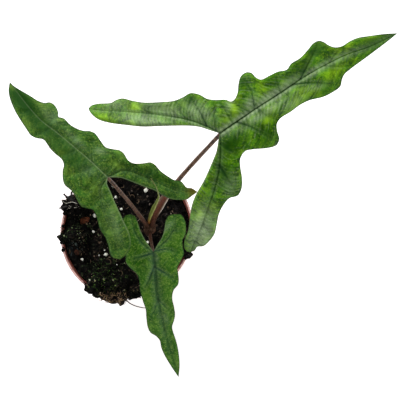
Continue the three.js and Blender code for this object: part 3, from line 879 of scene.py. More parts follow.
@dataclass
class Pot:
    """A thin-walled round nursery pot: tapered wall, upright band at the mouth, drained floor."""

    height: float = 105
    foot: float = 43
    shoulder: float = 58.2
    band: float = 8
    step: float = 1
    lip: float = 60
    lip_wall: float = 1.8
    wall: float = 1.2
    floor: float = 2
    holes: int = 8
    hole_radius: float = 4
    hole_circle: float = 31
    sides: int = 192
    floor_rows: int = 5
    sector_edge: int = 14
    bend_steps: int = 4
    longest: float = 4
    # the root ball presses the wall out of round: a bearing, and the stretch along and across it
    bearing: float = 54
    stretch: Pair = (1.035, 0.99)

    def press(self, points: Array, back: bool = False) -> Array:
        """Points of the round pot, moved to where they are in the pressed one, or back."""
        scale = np.array([*self.stretch, 1.0])
        return turned(turned(points, -self.bearing) * (1 / scale if back else scale), self.bearing)

    def inside(self, z: Array | float) -> Array:
        """The wall's inner radius at given heights: straight up to the band's foot and on to the lip."""
        radii = [self.foot - self.wall, self.shoulder - self.wall, self.lip - self.lip_wall]
        return np.interp(z, [0, self.height - self.band, self.height], radii)

    def profile(self) -> Array:
        """The wall's section, from the foot up the outside, over the lip and down inside.

        Every bend is a quadratic Bezier curve that starts and ends a little before and after it.

        Returns:
            Radius and height of the section's points, (n, 2).
        """
        top, band_foot = self.height, self.height - self.band
        # radius, height, and where the bend starts and ends
        corners = np.array([
            (self.foot - 2.2, 0, 0), (self.foot, 1.6, 1.4), (self.shoulder, band_foot, 0.35),
            (self.shoulder + self.step, band_foot, 0.35), (self.lip, top, 0.75),
            (self.lip - self.lip_wall, top, 0.7), (self.shoulder - self.wall, band_foot, 1.2),
            (self.foot - self.wall + 0.3, self.floor, 0),
        ])
        spot, reach = corners[:, :2], corners[1:-1, 2:]
        ends = [
            spot[1:-1] + reach * way / norm(way, axis=1)[:, None]
            for way in (spot[:-2] - spot[1:-1], spot[2:] - spot[1:-1])
        ]
        t = np.linspace(0, 1, self.bend_steps + 1)[None, :, None]
        bends = bezier([ends[0][:, None], spot[1:-1, None], ends[1][:, None]], t)
        line = np.vstack([spot[:1], bends.reshape(-1, 2), spot[-1:]])
        way = walked(line)
        pieces = zip(way[:-1], way[1:])
        cuts = [np.linspace(a, b, max(2, math.ceil((b - a) / self.longest) + 1))[:-1] for a, b in pieces]
        return points_at(line, np.append(np.concatenate(cuts), way[-1]))

    def floor_skin(self, z: float, rim: float) -> Skin:
        """One face of the floor, with its holes.

        Each hole's sector of the disc is ruled from the circle of the hole to the sector's outline,
        point for point in the same direction from the hole's middle.

        Args:
            z: the face's height.
            rim: its radius.

        Returns:
            The face, pointing down.
        """
        half = math.pi / self.holes
        arc = np.linspace(-half, half, self.sides // self.holes + 1)
        outer = round_points(rim, arc)[:, :2]
        share = np.linspace(0, 1, self.sector_edge, endpoint=False)[:, None]
        outline = np.vstack([share * outer[0], outer[:-1], (1 - share) * outer[-1]])
        middle = np.array([self.hole_circle, 0.0])
        toward = outline - middle
        circle = middle + self.hole_radius * toward / norm(toward, axis=1)[:, None]
        rows = np.linspace(0, 1, self.floor_rows)[:, None, None]
        strip = circle * (1 - rows) + outline * rows
        sector = level_points(strip[..., 0], strip[..., 1], z).reshape(-1, 3)
        cells = grid_triangles(self.floor_rows, len(outline), closed=True)
        return joined([Skin(turned(sector, 360 * k / self.holes), cells) for k in range(self.holes)])

    def hole_walls(self, under: Skin, over: Skin) -> Skin:
        """The drain holes' walls, each from a circle of the floor's underside to the one of its top."""
        pairs = zip(*(s.points.reshape(self.holes, self.floor_rows, -1, 3)[:, 0] for s in (under, over)))
        return joined([Skin(np.concatenate(p), grid_triangles(2, len(p[0]), True)).flipped() for p in pairs])

    def skin(self) -> Skin:
        """The whole pot: the section carried round the axis, the floor's two faces and its holes.

        Returns:
            The pot, with dust as a haze below the mouth, a ring just inside it and a ring at the foot,
            and a painted highlight on the lip.
        """
        section = self.profile()
        rings = round_points(section[:, :1], angles(self.sides), section[:, 1:])
        wall = Skin(rings.reshape(-1, 3), grid_triangles(len(section), self.sides, closed=True))
        under = self.floor_skin(0, section[0, 0])
        over = self.floor_skin(self.floor, section[-1, 0]).flipped()
        whole = merged(joined([wall, under, over, self.hole_walls(under, over)]))
        z, radius = whole.points[:, 2], np.hypot(whole.points[:, 0], whole.points[:, 1])
        to_mouth = z - self.height
        haze, foot = 0.25 * bell(to_mouth, 26), 0.5 * bell(z, 7)
        ring = bell(to_mouth, 9) * (radius < self.lip - 0.6)
        whole.tones["dust"] = np.clip(haze + ring + foot, 0, 1)
        # a painted highlight along the top of the lip
        whole.tones["painted_highlight"] = bell(to_mouth, 2.5) * (radius > self.lip - self.lip_wall - 0.1)
        whole.points = self.press(whole.points)
        return whole

    def build(self) -> None:
        """Makes the pot."""
        plastic = MouldedPlastic("moulded_polypropylene", 0.36).material()
        make_piece("pot_shell", self.skin(), plastic, ["pot"])


@dataclass(frozen=True)
class Tinted:
    """A round area of the potting mix with a colour of its own."""

    at: Pair
    reach: float
    colour: str
    weight: float


@dataclass(frozen=True)
class Spill:
    """A heap of mix across the lip: the number of its noise, its bearing, its distance out, and its
    half sizes out, aside and up."""

    number: int
    bearing: float
    out: float
    size: Triple

    def place(self, along: Array, across: Array) -> Array:
        """Places, (..., 3), from offsets outward and aside as shares of the half sizes."""
        return turned(level_points(self.out + along * self.size[0], across * self.size[1]), self.bearing)

    def offset(self, places: Array) -> tuple[Array, Array]:
        """Offsets outward and aside of places, as shares of the half sizes."""
        local = turned(places, -self.bearing)
        return (local[..., 0] - self.out) / self.size[0], local[..., 1] / self.size[1]

    def outline(self, angle: Array) -> Array:
        """How far it reaches each way, as a share of its size: ragged, and further inward."""
        ragged = smooth_noise(round_points(2.6, angle, 7.0 * self.number), 1.0, 5)
        return (1.12 - 0.22 * np.cos(angle)) * (1 + 0.26 * ragged)


@dataclass(frozen=True)
class Strand:
    """A torn shred or thread: points that it goes through, first and last radius, and colour."""

    points: Points
    radii: Pair
    colour: str


@dataclass(frozen=True)
class ThreadArea:
    """A rectangle of the mix with loose threads: its sides, their number, mean length and colours."""

    x: Pair
    y: Pair
    count: int
    length: float
    colours: tuple[str, str]


@dataclass
class PottingMix:
    """Peat with perlite, coir and bark, mounded at the crown and spilt over the lip."""

    pot: Pot
    crown: Pair = (20.5, 2.4)
    surface: float = 94.5
    mound: float = 6
    mound_reach: float = 20
    bank: float = 7
    bank_bearing: float = 205
    bank_reach: float = 70
    wall_gap: float = 0.4
    black: str = "0b0908"
    brown: str = "322820"
    brightest: float = 0.22
    crumb_count: int = 2700
    # wavelength, bearing, height and phase
    lumps: Points = (
        (46, 20, 0.9, 0.4), (31, 105, 0.8, 2.1), (23, 62, 0.6, 4.4), (17, 150, 0.5, 1.3), (13, 8, 0.4, 5.2),
    )
    # height, width and seed of the noises that make clods and crumbs
    bed_noise: Points = ((1.5, 7, 11), (1.0, 3.2, 12), (0.6, 1.5, 13))
    spill_noise: Points = ((2.2, 5, 21), (1.4, 2.2, 31), (0.7, 1.1, 41))
    spills: tuple[Spill, ...] = (
        Spill(0, -119, 53, (12.5, 10, 8)), Spill(1, -105, 54, (12, 11, 8.5)),
        Spill(2, -94, 56, (11.5, 6.5, 8)), Spill(3, 183, 51, (12.5, 8.5, 8)),
        Spill(4, 154, 53, (13.5, 8.5, 8.5)), Spill(5, -20, 55, (9.5, 5.5, 8)),
        Spill(6, -83, 55.5, (5.5, 8.5, 3)),
    )
    tints: tuple[Tinted, ...] = (
        Tinted((-50.6, -1.7), 10, "3a4a2c", 0.85), Tinted((-48, -14.5), 6, "3d484f", 0.75),
        Tinted((-20.5, -43.7), 13.5, "3e6222", 1.0), Tinted((6, -53.8), 4, "3a331c", 0.8),
        Tinted((-10, -58), 8, "4c3a29", 0.7), Tinted((-38, 0), 9, "2c3a22", 0.6),
        Tinted((-30, -30), 16, "232a1e", 0.6), Tinted((44, -10), 8, "2a2f24", 0.5),
    )
    torn: tuple[Strand, ...] = (
        Strand(((-46, 26, 107), (-52, 29.5, 108.5), (-57, 34, 107.5)), (2.0, 0.6), "0b0908"),
        Strand(((-45, 23, 107), (-54, 22.5, 108), (-61, 21, 106.5)), (1.7, 0.5), "0b0908"),
        Strand(((-48, 29, 107), (-50, 33, 107.5), (-49, 37.5, 107)), (1.6, 0.5), "100d0b"),
        Strand(((14.6, 13.4, 121.5), (12.6, 11.6, 120.6), (10.6, 9.6, 119)), (0.28, 0.2), "b8a894"),
        Strand(((-44, 25, 109), (-49, 26.5, 110), (-55, 25.2, 109.5)), (0.3, 0.2), "cfcac0"),
        Strand(((-43, 22.5, 109), (-48, 21.5, 110), (-52, 23.5, 110.2)), (0.3, 0.2), "a8a298"),
    )
    stray: Strand = Strand(
        ((-5, -56, 107), (3, -65, 107.5), (14.5, -69, 106.5), (25.5, -69, 106.5)), (0.62, 0.32), "4a4038",
    )
    threads: tuple[ThreadArea, ...] = (
        ThreadArea((-24, 2), (-64, -56), 60, 7.0, ("6b5440", "a08260")),
        ThreadArea((-61, -48), (20, 36), 14, 6.0, ("b8b2a4", "2a211b")),
        ThreadArea((-40, 44), (-40, 40), 60, 6.0, ("30221a", "6a5644")),
        ThreadArea((-54, -40), (-24, 6), 16, 5.0, ("6a5844", "3c2e24")),
    )
    # first and last bearing and number of the crumbs on stretches of the lip
    dusted: Sequence[tuple[float, float, int]] = (
        (-92, -74, 60), (-132, -116, 40), (180, 196, 24), (-30, -12, 40),
    )
    # place and radius
    grains: Points = (
        (17, 37.5, 2.5), (-10.8, 31.1, 1.5), (-13.2, 29.2, 1.2), (-5.5, 20.2, 1.7), (-30.1, 13.9, 2.1),
        (-36.9, 14.3, 0.7), (-31.2, -0.4, 1.6), (-20, -21.4, 1.9), (-26.1, -22.2, 0.9), (-20.9, -17.5, 0.7),
        (-41.5, -25.6, 1.6), (18.5, -9.8, 1.6), (-9.5, -30.9, 0.9), (38, -22, 1.4), (45, 6, 1.3),
        (2, 48, 1.5),
    )

    @property
    def clear_radius(self) -> float:
        """How far out a bit that lies on the mix may be without cutting into the wall."""
        return float(self.pot.inside(self.surface)) - 0.8

    def height(self, places: Array) -> Array:
        """The height of the mix: a bell-shaped mound at the crown, a sum of sine lumps, and a bank
        that leans on the wall at one side.

        Args:
            places: points at height 0, (..., 3).

        Returns:
            The mix's height at each, (...).
        """
        x, y, _ = np.moveaxis(self.pot.press(places, back=True), -1, 0)
        out = np.hypot(x - self.crown[0], y - self.crown[1])
        z = self.surface + self.mound * bell(out, self.mound_reach)
        for wavelength, bearing, size, phase in self.lumps:
            along = x * math.cos(math.radians(bearing)) + y * math.sin(math.radians(bearing))
            z = z + size * np.sin(2 * np.pi * along / wavelength + phase)
        turn = np.degrees(np.arctan2(y, x)) - self.bank_bearing
        near = bell((turn + 180) % 360 - 180, self.bank_reach)
        return z + self.bank * near * ease(np.hypot(x, y), 42, 56)

    def grit(self, points: Array, seed: int) -> Array:
        """The colour of the mix: near-black to dark brown at random, tinted in spots by area.

        Args:
            points: places, (n, 3).
            seed: picks another pattern.

        Returns:
            Linear colours, (n, 4).
        """
        brown = ease(smooth_noise(points, 5, seed), -0.1, 0.9)[:, None]
        colour = (1 - brown) * linear(self.black) + brown * linear(self.brown)
        spots = ease(smooth_noise(points, 1.8, seed + 3), -0.1, 0.4)
        for tint in self.tints:
            far = norm(points[:, :2] - tint.at, axis=1)
            part = (tint.weight * bell(far, tint.reach) * spots)[:, None]
            colour = (1 - part) * colour + part * linear(tint.colour)
        return colour

    def bed(self) -> Skin:
        """The mix that fills the pot.

        The top is a disc of rings and spokes at the height of the mix, with noise for crumbs that
        fades out at the wall; the side follows the wall down to the floor.

        Returns:
            The closed bed with its colour.
        """
        rings, angle = 104, angles(300)
        edge = self.pot.press(round_points(self.pot.inside(self.surface), angle))
        wall = self.pot.inside(self.height(edge)) - self.wall_gap
        radius = np.linspace(1, 0.004, rings)[:, None] * wall
        top = round_points(radius, angle)
        world = self.pot.press(top)
        inner = ease(1 - radius / radius[0], 0.0, 0.05)
        z = self.height(world)
        z[0] -= 1.5
        top[..., 2] = z + layered_noise(world, self.bed_noise) * inner - 1.6 * (1 - inner)
        deep = np.array([self.pot.floor + 0.3, self.pot.floor + 0.3, 30.0, 60.0])
        lower = self.pot.inside(deep)[:, None] - self.wall_gap
        lower[0] = 0.01
        bed = capped(np.concatenate([round_points(lower, angle, deep[:, None]), top]))
        bed.points = self.pot.press(bed.points)
        bed.tones["grit"] = self.grit(bed.points, 1)
        return bed

    def support(self, places: Array) -> Array:
        """What the spills lie on: the mix or the lip.

        Args:
            places: points of the unpressed pot at height 0, (..., 3).

        Returns:
            Its height at each, (...).
        """
        mix = self.height(self.pot.press(places))
        radius = norm(places, axis=-1)
        lip = np.where(radius > self.pot.lip + 0.5, self.pot.height - 1, self.pot.height)
        return np.where(radius > self.pot.inside(self.pot.height) - 0.3, lip, mix)

    def heap_top(self, spill: Spill, places: Array) -> Array:
        """The top of a spill.

        It rises from what lies under it to its peak by 1 - s^2, where s is the share of the way from
        its middle to its outline, and noise roughens it.

        Args:
            spill: the spill.
            places: points of the unpressed pot at height 0, (..., 3).

        Returns:
            The top's height at each, (...), and -1 beyond the outline.
        """
        along, across = spill.offset(places)
        s = np.hypot(along, across) / spill.outline(np.arctan2(across, along))
        part = np.clip(1 - s**2, 0, 1)
        under = self.support(places)
        rough = layered_noise(places, self.spill_noise, spill.number)
        peak = self.pot.height + 0.45 * spill.size[2]
        top = under + (peak - under) * part + rough * np.sqrt(part)
        return np.where(s < 1.001, np.maximum(top, under + 0.2), -1.0)

    def heap(self, spill: Spill) -> Skin:
        """One spill as a closed skin of rings and spokes, from its top to a flat base hidden in the
        mix and the lip.

        Args:
            spill: the spill.

        Returns:
            The spill with its colour.
        """
        angle = angles(110)
        reach = np.linspace(0.01, 1, 30)[:, None] * spill.outline(angle)
        places = spill.place(reach * np.cos(angle), reach * np.sin(angle))
        top = self.heap_top(spill, places)
        on_mix = norm(places, axis=-1) < self.clear_radius
        base = np.where(on_mix, self.support(places) - 2, self.pot.height - 1.6)
        lower, upper = (places + z[..., None] * UP for z in (np.minimum(base, top - 0.1), top))
        heap = capped(np.concatenate([lower, upper[::-1]]))
        heap.points = self.pot.press(heap.points)
        heap.tones["grit"] = self.grit(heap.points, 2)
        return heap

    def cover(self, places: Array) -> Array:
        """The height of whatever lies highest at places of the unpressed pot: mix, lip or spill."""
        tops = [self.heap_top(spill, places) for spill in self.spills]
        return np.maximum.reduce([self.support(places), *tops])

    def crumbs(self) -> Skin:
        """Loose crumbs and clods: over the bed, thickly over the spills and along the lip beside them.

        Returns:
            The crumbs, mostly dark, with a few pale ones: some paler crumbs, and the brightest painted
            glints.
        """
        draw = np.random.default_rng(17)
        out, turn = 56 * np.sqrt(draw.random(self.crumb_count)), 2 * np.pi * draw.random(self.crumb_count)
        places = [round_points(out, turn)]
        for spill in self.spills:
            many = int(3.6 * spill.size[0] * spill.size[1])
            share, turn = 1.2 * np.sqrt(draw.random(many)), 2 * np.pi * draw.random(many)
            places.append(spill.place(share * np.cos(turn), share * np.sin(turn)))
        for low, high, many in self.dusted:
            turn = np.radians(draw.uniform(low, high, many))
            places.append(round_points(draw.uniform(56, 60.5, many), turn))
        places = np.concatenate(places)
        z, radius = self.cover(places), norm(places, axis=1)
        on_top = (radius < self.pot.lip + 0.3) | (z > self.pot.height)
        kept = np.where(z < self.pot.height - 2, radius < self.clear_radius, on_top)
        places, z = places[kept], z[kept]
        places[:, 2] = z + draw.uniform(-0.35, 0.55, len(z))
        middle = self.pot.press(places)
        size = 0.35 + 1.5 * draw.random(len(middle)) ** 4
        sizes = size[:, None] * draw.uniform(0.4, 1.5, (len(middle), 3))
        skin = scattered(ball(3, 6), middle, sizes, 0.3, 23)
        copy = skin.tones.pop("copy")
        # random paler crumbs; the brightest few, lifted up to fifteen times, are painted glints
        pale = 0.2 + 0.9 * copy**2 + 15 * ease(copy, 0.74, 1.0) ** 2
        skin.tones["grit"] = np.clip(self.grit(skin.points, 4) * pale[:, None], 0, self.brightest)
        return skin

    def perlite(self) -> Skin:
        """White grains, each a rough ball half sunk into the mix.

        Returns:
            All the grains.
        """
        x, y, radius = np.array(self.grains, float).T
        middle = level_points(x, y, self.height(level_points(x, y)) + 0.55 * radius + 0.6)
        return scattered(ball(5, 8), middle, 0.88 * radius[:, None] * (1.0, 0.86, 0.78), 0.34, 29)

    def thread(self, draw: np.random.Generator, area: ThreadArea, colour: str) -> Skin | None:
        """One loose thread: a shallow bow over what lies there, thinner toward its ends.

        Args:
            draw: the random numbers.
            area: where it lies.
            colour: its colour.

        Returns:
            The thread, or nothing where it would cut into the wall or hang far outside.
        """
        share = np.linspace(-0.5, 0.5, 9)
        x, y = draw.uniform(*area.x), draw.uniform(*area.y)
        angle, bend = draw.uniform(0, 2 * np.pi), draw.uniform(-0.9, 0.9)
        turn = angle + bend * 2 * share
        size = area.length * draw.uniform(0.5, 1.4)
        path = level_points(x, y) + round_points(size * share, turn)
        unpressed = self.pot.press(path, back=True)
        z, radius = self.cover(unpressed), norm(unpressed, axis=1)
        z = z.mean() + 0.4 * (z - z.mean()) + 0.7 + 1.2 * draw.random() * (1 - (2 * share) ** 2)
        in_wall = (radius > self.clear_radius) & (z < self.pot.height - 2)
        if radius.max() > 66 or in_wall.any():
            return None
        return tube(path + z[:, None] * UP, 0.24 * (1.1 - np.abs(share)), 5).dyed(colour)

    def fibres(self) -> Skin:
        """Threads of coir and dead root: in the front spill, at the back left, and here and there.

        Returns:
            All the threads.
        """
        draw = np.random.default_rng(31)
        laid = [
            self.thread(draw, area, area.colours[k % 2]) for area in self.threads for k in range(area.count)
        ]
        return joined([thread for thread in laid if thread])

    def shreds(self) -> Skin:
        """Black torn bits of peat that stick out past the lip at the back left, two pale fibres beside
        them, and one pale root hair at the crown; noise makes each uneven.

        Returns:
            All of them.
        """
        steps, sides = 24, 12
        around = level_points(np.arange(steps + 1)[:, None] * 0.35, np.arange(sides) * 0.8)
        uneven = smooth_noise(around, 1.0, 47)
        skins = []
        for strand in self.torn:
            path = even_points(smooth_curve(strand.points), steps)
            thick = np.linspace(*strand.radii, steps + 1)[:, None] * (1 + 0.45 * uneven)
            skins.append(tube(path, thick, sides).dyed(strand.colour))
        return joined(skins)

    def stray_root(self) -> Skin:
        """The dead root that sticks out of the front spill, waving up and down by noise.

        Returns:
            The root.
        """
        path = even_points(smooth_curve(self.stray.points), 40)
        path = path + 0.5 * smooth_noise(path * (1, 1, 0), 5, 41)[:, None] * UP
        return tube(path, np.linspace(*self.stray.radii, len(path)), 8).dyed(self.stray.colour)

    def build(self) -> None:
        """Makes the bed with its spills, crumbs, grains and fibres."""
        peat = MoistPeat("moist_peat", 0.85, 0.12).material()
        coir = CoirFibre("coir_fibre", 0.7, 0.3).material()
        stone = PerliteStone("expanded_perlite", 0.85, 0.3).material()
        make_piece("peat_bed", self.bed(), peat, ["potting_mix"])
        make_piece("peat_spills", joined([self.heap(spill) for spill in self.spills]), peat)
        make_piece("peat_crumbs", self.crumbs(), peat, smooth=False)
        make_piece("perlite_grains", self.perlite(), stone)
        make_piece("coir_threads", self.fibres(), coir)
        make_piece("stray_root", self.stray_root(), coir)
        make_piece("peat_shreds", self.shreds(), coir)


@dataclass
class BarkChip:
    """A loose bit of bark: a flat rough slab with layered edges."""

    node: str
    at: Pair
    turn: float
    size: Triple

    def build(self, mix: PottingMix, finish: Material) -> None:
        """Makes the chip: a ball squared off by a power of 0.85, with noise along its grain.

        Args:
            mix: the potting mix that it lies on.
            finish: its material.
        """
        chip = ball(17, 28)
        p = np.sign(chip.points) * np.abs(chip.points) ** 0.85
        rough = 0.16 * smooth_noise(chip.points, 0.5, 3) + 0.1 * smooth_noise(p * (1, 4, 4), 1.0, 4)
        p = turned(p * (1 + rough)[:, None] * 0.9 * np.array(self.size), self.turn)
        middle = level_points(*self.at)
        middle[2] = mix.height(middle) + 0.8 * self.size[2]
        make_piece(self.node + "_slab", Skin(p + middle, chip.triangles), finish, [self.node])


@dataclass(frozen=True)
class RibLook:
    """How a rib shows from above: a dark groove between flanks with a painted sheen, with the width and
    strength of each, and the strength of a thin pale line on top."""

    dark_width: float
    dark: float
    sheen_width: float
    # strength of the painted sheen on the flanks
    pale: float
    line: float = 0.0


@dataclass(frozen=True)
class Vein:
    """A main side vein: start, middle and end of its bow, and how strongly it shows."""

    bow: Points
    weight: float = 0.6


@dataclass(frozen=True)
class Spot:
    """An oval area of a blade: place, half length and half width, turn in degrees, strength."""

    at: Pair
    size: Pair
    turn: float
    weight: float

    def amount(self, xy: Array) -> Array:
        """How strongly the spot shows at each place: a bell curve along and across it."""
        along, across = (turned(xy - self.at, -self.turn) / self.size).T
        return self.weight * np.exp(-(along**2) - across**2)


@dataclass(frozen=True)
class Half:
    """One side of a blade: its basal rib, the margin ahead of the petiole, the margin of the basal
    lobe, the margin of the notch, and how the basal rib shows."""

    side: int
    rib: Points
    fore: Points
    lobe: Points
    notch: Points
    look: RibLook


@dataclass
class Patch:
    """A strip of a blade between a rib and a margin, with as many stations on both: the share of the
    rib walked and the margin's lift at each, which way it turns, how its rungs lean in degrees, its
    cells across, and how strong a pale line its margin has."""

    rib: Array
    margin: Array
    share: Array
    lift: Array
    turn: int
    lean: float
    columns: int
    pale_margin: float = 0.0


@dataclass
class Blade:
    """A leaf blade in its own frame: the origin is where the midrib meets the petiole, x runs along
    the midrib to the tip and y to the left. Midribs and margins start at the tip."""

    node: str
    base: Triple
    heading: float
    tilt: float
    bend_along: float
    bend_across: float
    midrib: Points
    look: RibLook
    halves: tuple[Half, Half]
    veins: tuple[Vein, ...]
    lights: tuple[Spot, ...]
    # spots where a painted sheen lies
    sheen_spots: tuple[Spot, ...]
    browns: tuple[Spot, ...] = ()
    shades: tuple[Spot, ...] = ()
    notch_line: float = 0.2
    vein_shade: float = 0.2
    # strength of a broad painted sheen laid over the blade in noisy patches
    haze: float = 0.08
    blotch: float = 0.3
    pitch: float = 0.85
    fold: float = 0.1
    puff: float = 0.26
    wave: float = 0.55
    wave_window: float = 22
    wave_limit: float = 4
    wave_fade: float = 16
    fore_lean: float = 52
    lobe_lean: float = 24
    notch_width: float = 14
    block: int = 6000

    def lifts(self, margin: Array, rib: Array) -> Array:
        """How far a margin is lifted: notches rise and bulges droop, by how much narrower the blade is
        there than its mean over a window, fading out at both ends.

        Args:
            margin: the margin's stations, (n, 2).
            rib: the rib's stations, (n, 2).

        Returns:
            The lift at each station, (n,).
        """
        width = norm(margin - rib, axis=1)
        reach = round(self.wave_window / self.pitch)
        window = np.ones(2 * reach + 1)
        mean = np.convolve(width, window, "same") / np.convolve(np.ones_like(width), window, "same")
        lift = np.clip(self.wave * (mean - width), -self.wave_limit, self.wave_limit)
        step = np.arange(len(width)) * self.pitch / self.wave_fade
        return lift * np.minimum(1, np.minimum(step, step[::-1]))

    def patches(self) -> list[Patch]:
        """Cuts the blade into six strips, with stations at equal distances.

        Returns:
            For each half: ahead of the petiole, along the basal lobe, and along the notch.
        """
        curves = [smooth_curve([*half.fore, *half.lobe]) for half in self.halves]
        waists = [16 * (len(half.fore) - 1) for half in self.halves]
        longest = max(walked(curve[: waist + 1])[-1] for curve, waist in zip(curves, waists))
        ahead = math.ceil(longest / self.pitch)
        midrib = even_points(smooth_curve(self.midrib), ahead)
        from_tip = 1 - np.linspace(0, 1, ahead + 1)
        narrow = math.ceil(self.notch_width / self.pitch)
        found = []
        for half, curve, waist in zip(self.halves, curves, waists):
            notch = smooth_curve(half.notch)
            behind = math.ceil(max(walked(curve[waist:])[-1], walked(notch)[-1]) / self.pitch)
            fore, lobe = even_points(curve[: waist + 1], ahead), even_points(curve[waist:], behind)
            rib, notch = even_points(smooth_curve(half.rib), behind), even_points(notch, behind)
            from_base = np.linspace(0, 1, behind + 1)
            lift = self.lifts(np.vstack([fore, lobe[1:]]), np.vstack([midrib, rib[1:]]))
            widths = [norm(a - b, axis=1).max() for a, b in ((fore, midrib), (lobe, rib))]
            wide = math.ceil(max(widths) / self.pitch)
            found += [
                Patch(midrib, fore, from_tip, lift[: ahead + 1], -half.side, self.fore_lean, wide),
                Patch(rib, lobe, from_base, lift[ahead:], -half.side, self.lobe_lean, wide),
                Patch(
                    rib, notch, from_base, 0 * from_base, half.side, self.lobe_lean, narrow, self.notch_line,
                ),
            ]
        return found

    def surface(self, patch: Patch) -> dict[str, Array]:
        """The upper face of a strip.

        A place is rib + v * (margin - rib), v from 0 to 1. Its height is w * (fold * v + puff * v(1-v))
        + lift * v^2 - x * tan(tilt) - x^2 / (2 bend along) - y^2 / (2 bend across), w the width there.

        Args:
            patch: the strip.

        Returns:
            At each point of the face: its place "xy" and height "z", the distance "across" from the
            rib, the distance "rungs" square to the strip's rungs, and the "share" of the rib walked.
        """
        v = np.linspace(0, 1, patch.columns + 1)
        span = patch.margin - patch.rib
        width = norm(span, axis=1)[:, None]
        xy = patch.rib[:, None] + v[:, None] * span[:, None]
        x, y = xy[..., 0], xy[..., 1]
        z = width * (self.fold * v + self.puff * v * (1 - v)) + patch.lift[:, None] * v**2
        z = z - x * math.tan(math.radians(self.tilt)) - x**2 / (2 * self.bend_along)
        z = z - y**2 / (2 * self.bend_across)
        along = walked(patch.rib)[:, None]
        along = along[-1] - along if patch.share[0] == 1 else along
        lean = math.radians(patch.lean)
        rungs = along * math.cos(lean) + v * width * math.sin(lean) - 0.5 * width * v * (1 - v)
        return {
            "xy": xy.reshape(-1, 2), "z": z.ravel(), "rungs": rungs.ravel(), "across": (v * width).ravel(),
            "share": np.repeat(patch.share, len(v)),
        }

    def from_margin(self, xy: Array) -> Array:
        """The distance to the nearest margin of the blade, for a block of places at a time.

        Args:
            xy: places in the blade's frame, (n, 2).

        Returns:
            The distance of each, (n,).
        """
        margins = [smooth_curve([*half.fore, *half.lobe], 5) for half in self.halves]
        margins += [smooth_curve(half.notch, 5) for half in self.halves]
        return np.concatenate([
            np.minimum.reduce([distance_to(xy[i : i + self.block], path)[0] for path in margins])
            for i in range(0, len(xy), self.block)
        ])

    def tones(self, xy: Array, from_margin: Array, pale_margin: Array) -> dict[str, Array]:
        """What the ribs, veins, painted sheen and light areas do at each place of the blade.

        A rib is a dark groove with a painted sheen on its flanks and low shoulders, a side vein a thinner
        one, and both fade and slim toward their ends. Between them the tissue stands up and swells with
        noise.

        Args:
            xy: places in the blade's frame, (n, 2).
            from_margin: distance to the margin, (n,).
            pale_margin: strength of a pale line along the margin, (n,).

        Returns:
            The finish's tones by name, and "relief", the height over the bare surface in mm.
        """
        vein, wax, line, beside, relief = np.zeros((5, len(xy)))
        nearest = np.full(len(xy), np.inf)
        ribs = [(smooth_curve(self.midrib, 8)[::-1], self.look)]
        ribs += [(smooth_curve(half.rib, 8), half.look) for half in self.halves]
        for path, look in ribs:
            far, gone = distance_to(xy, path)
            fade = 1 - 0.8 * gone**1.5
            groove = np.exp(-((far / (look.dark_width * (1 - 0.45 * gone))) ** 4))
            vein = np.maximum(vein, look.dark * groove * fade)
            # a painted sheen on the flanks of the rib
            wax = np.maximum(wax, look.pale * bell(far, look.sheen_width) * (1 - groove) * fade)
            line = np.maximum(line, look.line * bell(far, 0.4) * (1 - 0.8 * gone))
            relief += fade * (0.35 * bell(far - 1.9, 1.0) - (0.3 + 0.7 * look.dark) * bell(far, 1.2))
            nearest = np.minimum(nearest, far)
        for side_vein in self.veins:
            far, gone = distance_to(xy, smooth_curve(side_vein.bow, 8))
            strength = side_vein.weight * np.minimum(1, 1.25 * (1 - gone) + 0.12)
            slim = 1.0 - 0.45 * gone
            vein = np.maximum(vein, strength * bell(far, 0.58 * slim))
            # a painted sheen just beside each side vein
            wax = np.maximum(wax, 0.3 * strength * bell(far - 1.5, 0.8))
            beside = np.maximum(beside, self.vein_shade * strength * bell(far, 3.2))
            relief -= strength * bell(far, slim)
            nearest = np.minimum(nearest, far + 1.5 * gone)
        spread = level_points(*xy.T)
        panel, inward = ease(nearest, 1.2, 7), ease(from_margin, 0, 8)
        relief += 1.7 * panel + layered_noise(spread, ((0.9, 13, 51), (0.35, 6, 54))) * inward
        light = self.blotch * panel * ease(smooth_noise(spread, 7, 52), -0.1, 0.7)
        light = np.maximum.reduce([light, *(spot.amount(xy) for spot in self.lights)])
        # a painted sheen in the blade's listed spots
        wax = np.maximum.reduce([wax, *(spot.amount(xy) for spot in self.sheen_spots)])
        found = {
            "vein": vein,
            # all the painted sheen, with a broad painted haze of sheen in noisy patches
            "wax": wax + self.haze * ease(smooth_noise(spread, 17, 53), -0.3, 0.7),
            "light": light,
            "line": np.maximum(line, pale_margin * bell(from_margin - 0.5, 0.5)),
            "brown": sum((spot.amount(xy) for spot in self.browns), np.zeros(len(xy))),
            "shade": sum((spot.amount(xy) for spot in self.shades), beside),
            "rim": 0.6 * bell(from_margin, 0.7) * (1 - pale_margin),
        }
        return {name: np.clip(values, 0, 1) for name, values in found.items()} | {"relief": relief}

